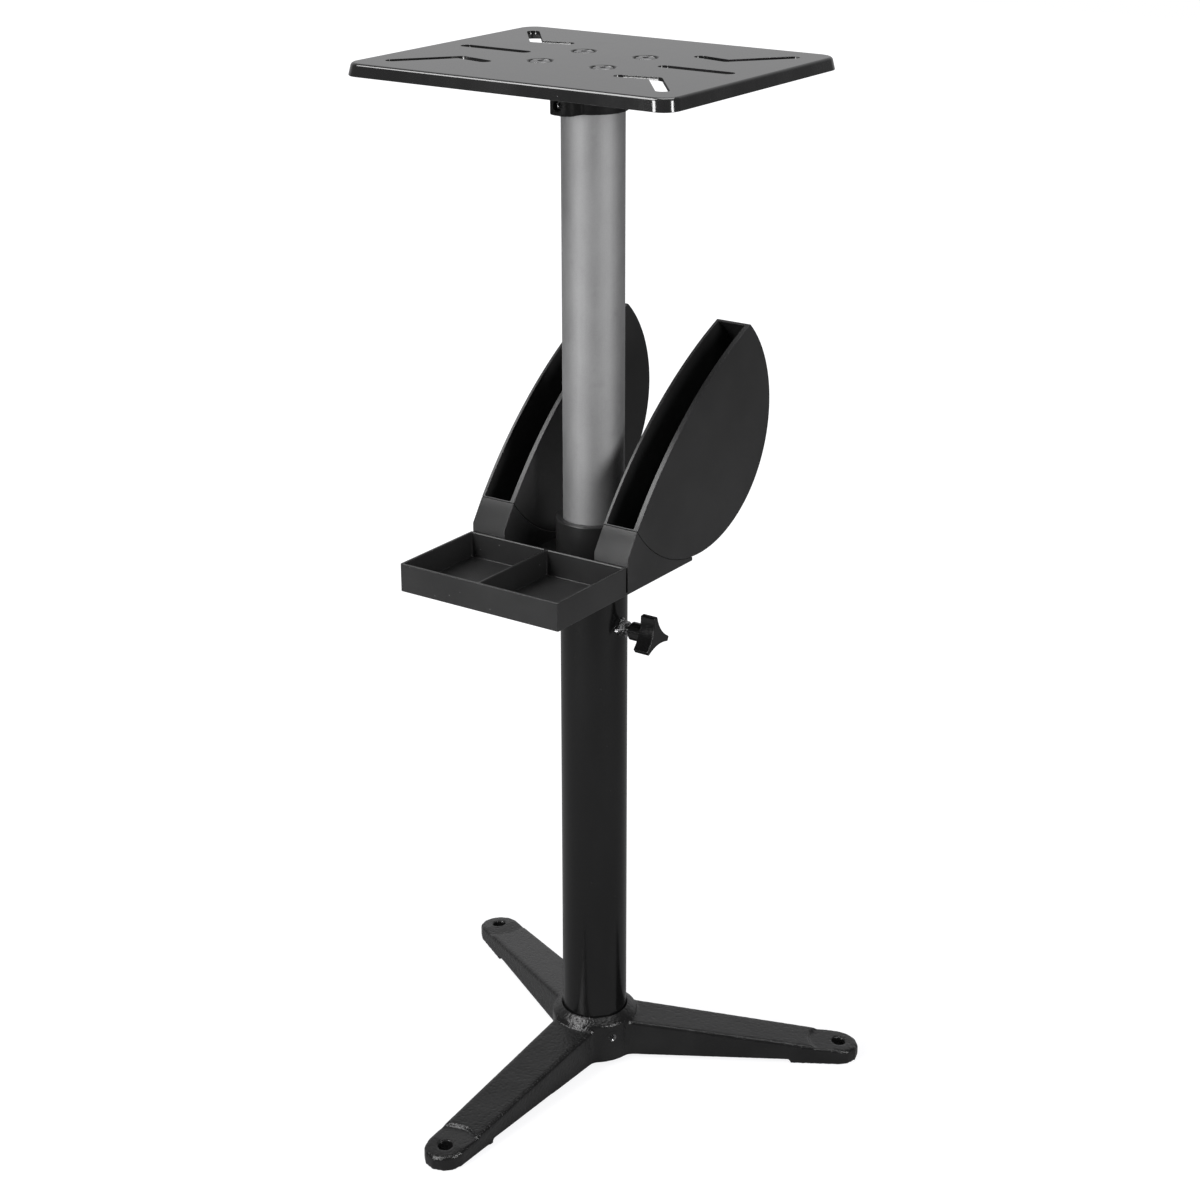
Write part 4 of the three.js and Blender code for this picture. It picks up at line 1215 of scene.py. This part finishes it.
@dataclass
class Table(SubAssembly):
    """The slotted table, its flange and the fasteners between them."""

    top: float = 0.933
    half_width: float = 0.160
    half_depth: float = 0.131
    corner: float = 0.016
    edge: float = 0.0024
    sheet: float = 0.003
    press_drop: float = 0.003
    rim: float = 0.0105
    flare: float = 0.002
    slot_radius: float = 0.0055
    slot_inner: Point = (0.067, 0.059)
    slot_elbow: Point = (0.096, 0.053)
    slot_tip: Point = (0.132, 0.098)
    side_slot: Point = (0.070, 0.130)
    slot_round: float = 0.0003
    screw_reach: float = 0.031
    dimple_depth: float = 0.003
    dimple_draw: float = 5.0
    dimple_top: float = 0.0136
    dimple_floor: float = 0.0095
    screw_radius: float = 0.003
    screw_pitch: float = 0.001
    head_radius: float = 0.0085
    head_height: float = 0.0029
    head_side: float = 0.0019
    head_round: float = 0.0007
    dome_steps: int = 8
    screw_tail: float = 0.9135
    flange_bottom: float = 0.921
    nut_across: float = 0.010
    nut_height: float = 0.005
    socket: float = 0.005
    lug_angle: float = math.radians(-98)
    lug_screw_tip: float = 0.0273
    lug_screw_height: float = 0.9005
    lug_screw_length: float = 0.013
    flange_voxel: float = 0.0010
    flange_grain: float = 0.00012
    places: list[Point] = field(default_factory=lambda: [(-1, -1), (1, -1), (-1, 1), (1, 1)])

    def build(self) -> None:
        """Makes the plate, the flange and the fasteners."""
        self.settle(self.plate(), Paintwork.TABLE, "table", "table_plate")
        flange = Bench.cast(self.solid("table_flange"), "table_flange_casting", self.flange_voxel, self.flange_grain)
        self.settle(flange, Paintwork.FLANGE, "table", "table_flange")
        outward = Vector((math.cos(self.lug_angle), math.sin(self.lug_angle), 0))
        tip = facing(outward, outward * self.lug_screw_tip + UP * self.lug_screw_height)
        lock = SetScrew().make("flange_lock_screw", self.lug_screw_length, tip)
        self.settle(lock, Paintwork.DARK, "table", "flange_set_screw")
        screw = self.screw()
        nut = self.nut()
        for i, (x, y) in enumerate(self.places, 1):
            place = Matrix.Translation((x * self.screw_reach, y * self.screw_reach, 0))
            self.settle(Bench.copy(screw, f"plate_screw_{i}", place), Paintwork.DARK, "table", f"table_screw_{i}")
            self.settle(Bench.copy(nut, f"plate_nut_{i}", place), Paintwork.ZINC, "table", f"table_nut_{i}")
        for pattern in (screw, nut):
            bpy.data.meshes.remove(pattern.data)

    def plate(self) -> bpy.types.Object:
        """The pressed sheet with its turned-down rim, slots and dimples."""
        plan = rounded_box(-self.half_width, self.half_width, -self.half_depth, self.half_depth, self.corner, 10)
        piece = Bench.pull("slotted_table", flat(plan, self.top - self.rim), UP * self.rim)
        high = self.top - PLACE_TOLERANCE
        narrower = 1 - self.flare / self.half_width
        shallower = 1 - self.flare / self.half_depth
        with Bench.editing(piece) as mesh:
            Bench.choose(piece, mesh.faces, lambda f: f.normal.z > 0.99)
            bpy.ops.transform.resize(value=(narrower, shallower, 1), center_override=(0, 0, self.top))
        Bench.ease(piece, self.edge, 8, lambda e: min(v.co.z for v in e.verts) > high)
        with Bench.editing(piece) as mesh:
            Bench.choose(piece, mesh.faces, lambda f: f.normal.z < -0.99)
            bpy.ops.mesh.delete(type="FACE")
        Bench.apply(piece, "SOLIDIFY", thickness=self.sheet, offset=-1, use_even_offset=True)
        Bench.ease(piece, 0.0006, 2, lambda e: max(v.co.z for v in e.verts) < self.top - self.rim + CUT_MARGIN)
        for x, y in self.places:
            place = Matrix.Translation((x * self.screw_reach, y * self.screw_reach, 0))
            Bench.join(piece, Bench.move(self.bulge(), place))
            Bench.cut(piece, Bench.move(self.dish(), place))
        for tool in self.slots():
            Bench.cut(piece, tool)
        self.ease_slots(piece)
        Bench.shade(piece, math.radians(30))
        return piece

    def press(self, shift: float) -> list[Point]:
        """The side of a dimple, which starts gently and ends steeply.

        Args:
            shift: How far below the plate's top surface it lies.

        Returns:
            Points from its outer edge to its floor.
        """
        count = 10
        points = []
        for i in range(count + 1):
            t = i / count
            radius = self.dimple_top + (self.dimple_floor - self.dimple_top) * t
            points.append((radius, self.top - shift - self.dimple_depth * t**self.dimple_draw))
        return points

    def dish(self) -> bpy.types.Object:
        """A tool for a dimple and its screw hole."""
        above = self.top + CUT_MARGIN
        hole = self.screw_radius + 0.0003
        low = self.flange_bottom
        side = self.press(0)
        section = [(0, above), (self.dimple_top, above), *side, (hole, side[-1][1]), (hole, low), (0, low)]
        return Bench.turn("dimple", section, 48)

    def bulge(self) -> bpy.types.Object:
        """The underside of a dimple."""
        spread = 0.0015
        side = [(radius + spread, height) for radius, height in self.press(self.press_drop)]
        inside = self.top - self.sheet / 2
        section = [(0, inside), (self.dimple_top + spread, inside), *side, (0, side[-1][1])]
        return Bench.turn("dimple_back", section, 48)

    def slot_lines(self) -> list[tuple[Point, Point]]:
        """The centre lines of all the slots' arms."""
        lines = []
        for x in (-1, 1):
            lines.append(((x * self.side_slot[0], 0), (x * self.side_slot[1], 0)))
            for y in (-1, 1):
                elbow = (x * self.slot_elbow[0], y * self.slot_elbow[1])
                lines.append(((x * self.slot_inner[0], y * self.slot_inner[1]), elbow))
                lines.append((elbow, (x * self.slot_tip[0], y * self.slot_tip[1])))
        return lines

    def slots(self) -> list[bpy.types.Object]:
        """Tools for the slots."""
        tools = []
        for start, end in self.slot_lines():
            along = Vector(end) - Vector(start)
            lean = math.atan2(along.y, along.x)
            plan = arc(end, self.slot_radius, lean - QUARTER_TURN, lean + QUARTER_TURN, 12)
            plan += arc(start, self.slot_radius, lean + QUARTER_TURN, lean + 3 * QUARTER_TURN, 12)
            tools.append(Bench.pull("slot", flat(plan, self.top - 0.006), UP * 0.008))
        return tools

    def ease_slots(self, piece: bpy.types.Object) -> None:
        """Rounds the slots' upper edges, where the paint has run thin."""
        lines = [(Vector(start), Vector(end)) for start, end in self.slot_lines()]

        def on_slot(edge: bmesh.types.BMEdge) -> bool:
            middle = (edge.verts[0].co + edge.verts[1].co) / 2
            near = min((middle.xy - self.nearest(middle.xy, *line)).length for line in lines)
            return middle.z > self.top - PLACE_TOLERANCE and near < self.slot_radius + CUT_MARGIN

        Bench.ease(piece, self.slot_round, 2, on_slot)

    @staticmethod
    def nearest(point: Vector, start: Vector, end: Vector) -> Vector:
        """The nearest point of a line between two ends."""
        along = end - start
        share = (point - start).dot(along) / along.length_squared
        return start + along * min(1.0, max(0.0, share))

    def screw(self) -> bpy.types.Object:
        """A button-headed screw with a hexagon socket and a threaded tail."""
        seat = self.top - self.dimple_depth
        crown = seat + self.head_height
        shoulder = seat + self.head_side
        edge = (self.head_radius - self.head_round, shoulder)
        crest = shoulder + self.head_round
        button = arc(edge, self.head_round, 0, QUARTER_TURN, 5)
        for i in range(1, self.dome_steps):
            radius = edge[0] * (1 - i / self.dome_steps)
            button.append((radius, crest + (crown - crest) * (1 - (radius / edge[0]) ** 2)))
        section = [(0, self.screw_tail), (self.screw_radius - 0.0006, self.screw_tail)]
        section += rings(self.screw_radius, self.screw_tail + 0.0006, self.flange_bottom, self.screw_pitch)
        section += [(self.screw_radius, seat), (self.head_radius, seat), *button, (0, crown)]
        piece = Bench.turn("plate_screw", section, 40)
        Bench.cut(piece, hex_socket(self.socket, seat + 0.0003, crown + CUT_MARGIN))
        thread(piece, self.screw_radius, self.screw_pitch, self.screw_tail + 0.0006, self.flange_bottom)
        Bench.shade(piece, math.radians(50))
        return piece

    def nut(self) -> bpy.types.Object:
        """A hexagon nut with chamfered corners."""
        low = self.flange_bottom - self.nut_height
        chamfer = 0.0006
        piece = Bench.pull("plate_nut", flat(hexagon(self.nut_across), low), UP * self.nut_height)
        corner = self.nut_across / math.sqrt(3)
        rim = self.nut_across / 2 - 0.0001
        barrel = [(0, low), (rim, low), (corner, low + chamfer), (corner, self.flange_bottom - chamfer)]
        barrel += [(rim, self.flange_bottom), (0, self.flange_bottom)]
        Bench.shape_with(piece, Bench.turn("nut_barrel", barrel, 48), "INTERSECT")
        hole = self.screw_radius + 0.0003
        bore = [(0, low - CUT_MARGIN), (hole + chamfer, low - CUT_MARGIN), (hole + chamfer, low)]
        bore += [(hole, low + chamfer), (hole, self.flange_bottom + CUT_MARGIN), (0, self.flange_bottom + CUT_MARGIN)]
        Bench.cut(piece, Bench.turn("plate_nut_bore", bore, 32))
        Bench.shade(piece)
        return piece


# Studio


@dataclass(frozen=True)
class Softbox:
    """A studio lamp with a flat, evenly bright front."""

    name: str
    direction: tuple[float, float, float]
    distance: float
    width: float
    height: float
    brightness: float

    def hang(self, target: Vector) -> None:
        """Hangs the lamp so that it faces a point."""
        lamp = bpy.data.lights.new(self.name, "AREA")
        lamp.shape = "RECTANGLE"
        lamp.size = self.width
        lamp.size_y = self.height
        lamp.energy = self.brightness * math.pi * self.width * self.height
        holder = bpy.data.objects.new(self.name, lamp)
        bpy.context.scene.collection.objects.link(holder)
        out = Vector(self.direction).normalized()
        holder.location = target + out * self.distance
        holder.rotation_euler = out.to_track_quat("Z", "Y").to_euler()


@dataclass
class Studio:
    """The pale floor, the lamps, the white surround and the camera."""

    azimuth: float = math.radians(34.752)
    elevation: float = math.radians(21.237)
    roll: float = math.radians(-0.096)
    distance: float = 2.1456
    target: tuple[float, float, float] = (0.0, 0.0, 0.461)
    lens: float = 72.3
    sensor: float = 36.0
    shift: Point = (0.0050, -0.0035)
    floor_size: float = 14.0
    floor_pale: float = 0.85
    floor_bounce: float = 0.30
    floor_white: float = 0.75
    floor_gloss: float = 0.05
    floor_strength: float = 1.16
    shadow_reach: Point = (0.30, 0.62)
    surround: float = 0.12
    gloss_white: float = 0.45
    lamps: tuple[Softbox, ...] = (
        Softbox("key_softbox", (-0.38, -0.42, 0.82), 2.3, 1.2, 1.2, 6.8),
        Softbox("front_softbox", (-0.22, -0.97, 0.26), 1.9, 0.45, 1.2, 12.0),
        Softbox("right_softbox", (0.99, -0.12, 0.26), 1.8, 0.3, 1.2, 13.5),
        Softbox("top_softbox", (0.10, 0.15, 1.0), 2.0, 1.2, 1.2, 2.8),
    )

    def back(self) -> Vector:
        """The direction from the object to the camera."""
        level = math.cos(self.elevation)
        sideways = math.sin(self.azimuth) * level
        return Vector((sideways, -math.cos(self.azimuth) * level, math.sin(self.elevation)))

    def build(self) -> None:
        """Sets up the studio."""
        self.camera()
        self.floor()
        self.world()
        for lamp in self.lamps:
            lamp.hang(Vector(self.target))
        bpy.context.scene.view_settings.view_transform = "Standard"

    def camera(self) -> None:
        """A camera at the photograph's viewing angle."""
        data = bpy.data.cameras.new("camera")
        data.lens = self.lens
        data.sensor_width = self.sensor
        data.shift_x, data.shift_y = self.shift
        camera = bpy.data.objects.new("camera", data)
        bpy.context.scene.collection.objects.link(camera)
        camera.location = Vector(self.target) + self.back() * self.distance
        aim = (-self.back()).to_track_quat("-Z", "Y").to_matrix()
        camera.rotation_euler = (aim @ Matrix.Rotation(self.roll, 3, "Z")).to_euler()
        bpy.context.scene.camera = camera

    @staticmethod
    def seen(sheet: ShaderSheet, in_gloss: Wire | float) -> Wire:
        """How much of the white background a ray sees.

        Args:
            sheet: The sheet of the floor or the surround.
            in_gloss: The share that shows in gloss.

        Returns:
            1 from the camera and through glass, and that share by way of gloss.
        """
        camera = sheet.node("ShaderNodeLightPath", output="Is Camera Ray")
        glossy = sheet.node("ShaderNodeLightPath", output="Is Glossy Ray")
        through = sheet.node("ShaderNodeLightPath", output="Is Transmission Ray")
        return camera.most(through).most(glossy * in_gloss)

    def floor(self) -> None:
        """A pale floor that shows white and keeps a faint shadow."""
        Bench.clear()
        bpy.ops.mesh.primitive_plane_add(size=self.floor_size)
        floor = bpy.context.object
        floor.name = "floor"
        material = bpy.data.materials.new("floor")
        material.use_nodes = True
        sheet = ShaderSheet(material.node_tree)
        camera = sheet.node("ShaderNodeLightPath", output="Is Camera Ray")
        pale = sheet.shade(camera, grey(self.floor_bounce), grey(self.floor_pale))
        matt = sheet.node("ShaderNodeBsdfDiffuse", {}, {"Color": pale})
        white = sheet.node("ShaderNodeEmission", {}, {"Color": grey(1.0), "Strength": self.floor_strength})
        away = sheet.node("ShaderNodeVectorMath", {"operation": "LENGTH"}, {0: sheet.place()}, "Value")
        near_white = self.floor_white + away.band(*self.shadow_reach) * (1 - self.floor_white)
        share = self.seen(sheet, self.floor_gloss) * near_white
        mixed = sheet.node("ShaderNodeMixShader", {}, {0: share, 1: matt, 2: white})
        sheet.node("ShaderNodeOutputMaterial", {}, {"Surface": mixed})
        floor.data.materials.append(material)
        floor.location.z = -0.0004

    def world(self) -> None:
        """A white surround that lights the object softly, and shows in gloss from behind the object."""
        world = bpy.data.worlds.new("surround")
        world.use_nodes = True
        sheet = ShaderSheet(world.node_tree)
        soft = sheet.node("ShaderNodeBackground", {}, {"Color": grey(1.0), "Strength": self.surround})
        white = sheet.node("ShaderNodeBackground", {}, {"Color": grey(1.0), "Strength": 1.0})
        way = sheet.node("ShaderNodeTexCoord", output="Generated")
        behind = (-math.sin(self.azimuth), math.cos(self.azimuth), 0.0)
        facing_back = sheet.node("ShaderNodeVectorMath", {"operation": "DOT_PRODUCT"}, {0: way, 1: behind}, "Value")
        share = self.seen(sheet, facing_back.band(0.3, 0.85) * self.gloss_white)
        mixed = sheet.node("ShaderNodeMixShader", {}, {0: share, 1: soft, 2: white})
        sheet.node("ShaderNodeOutputWorld", {}, {"Surface": mixed})
        bpy.context.scene.world = world


def main() -> None:
    """Builds the studio and every sub-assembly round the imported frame."""
    logging.basicConfig(level=logging.INFO, format="%(name)s: %(message)s")
    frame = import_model()
    Bench.clear()
    Studio().build()
    paints = {paint: paint.value.make() for paint in Paintwork}
    for assembly in (CastBase, Column, HeightClamp, ToolTray, Table):
        assembly(frame, paints).build()


if __name__ == "__main__":
    main()
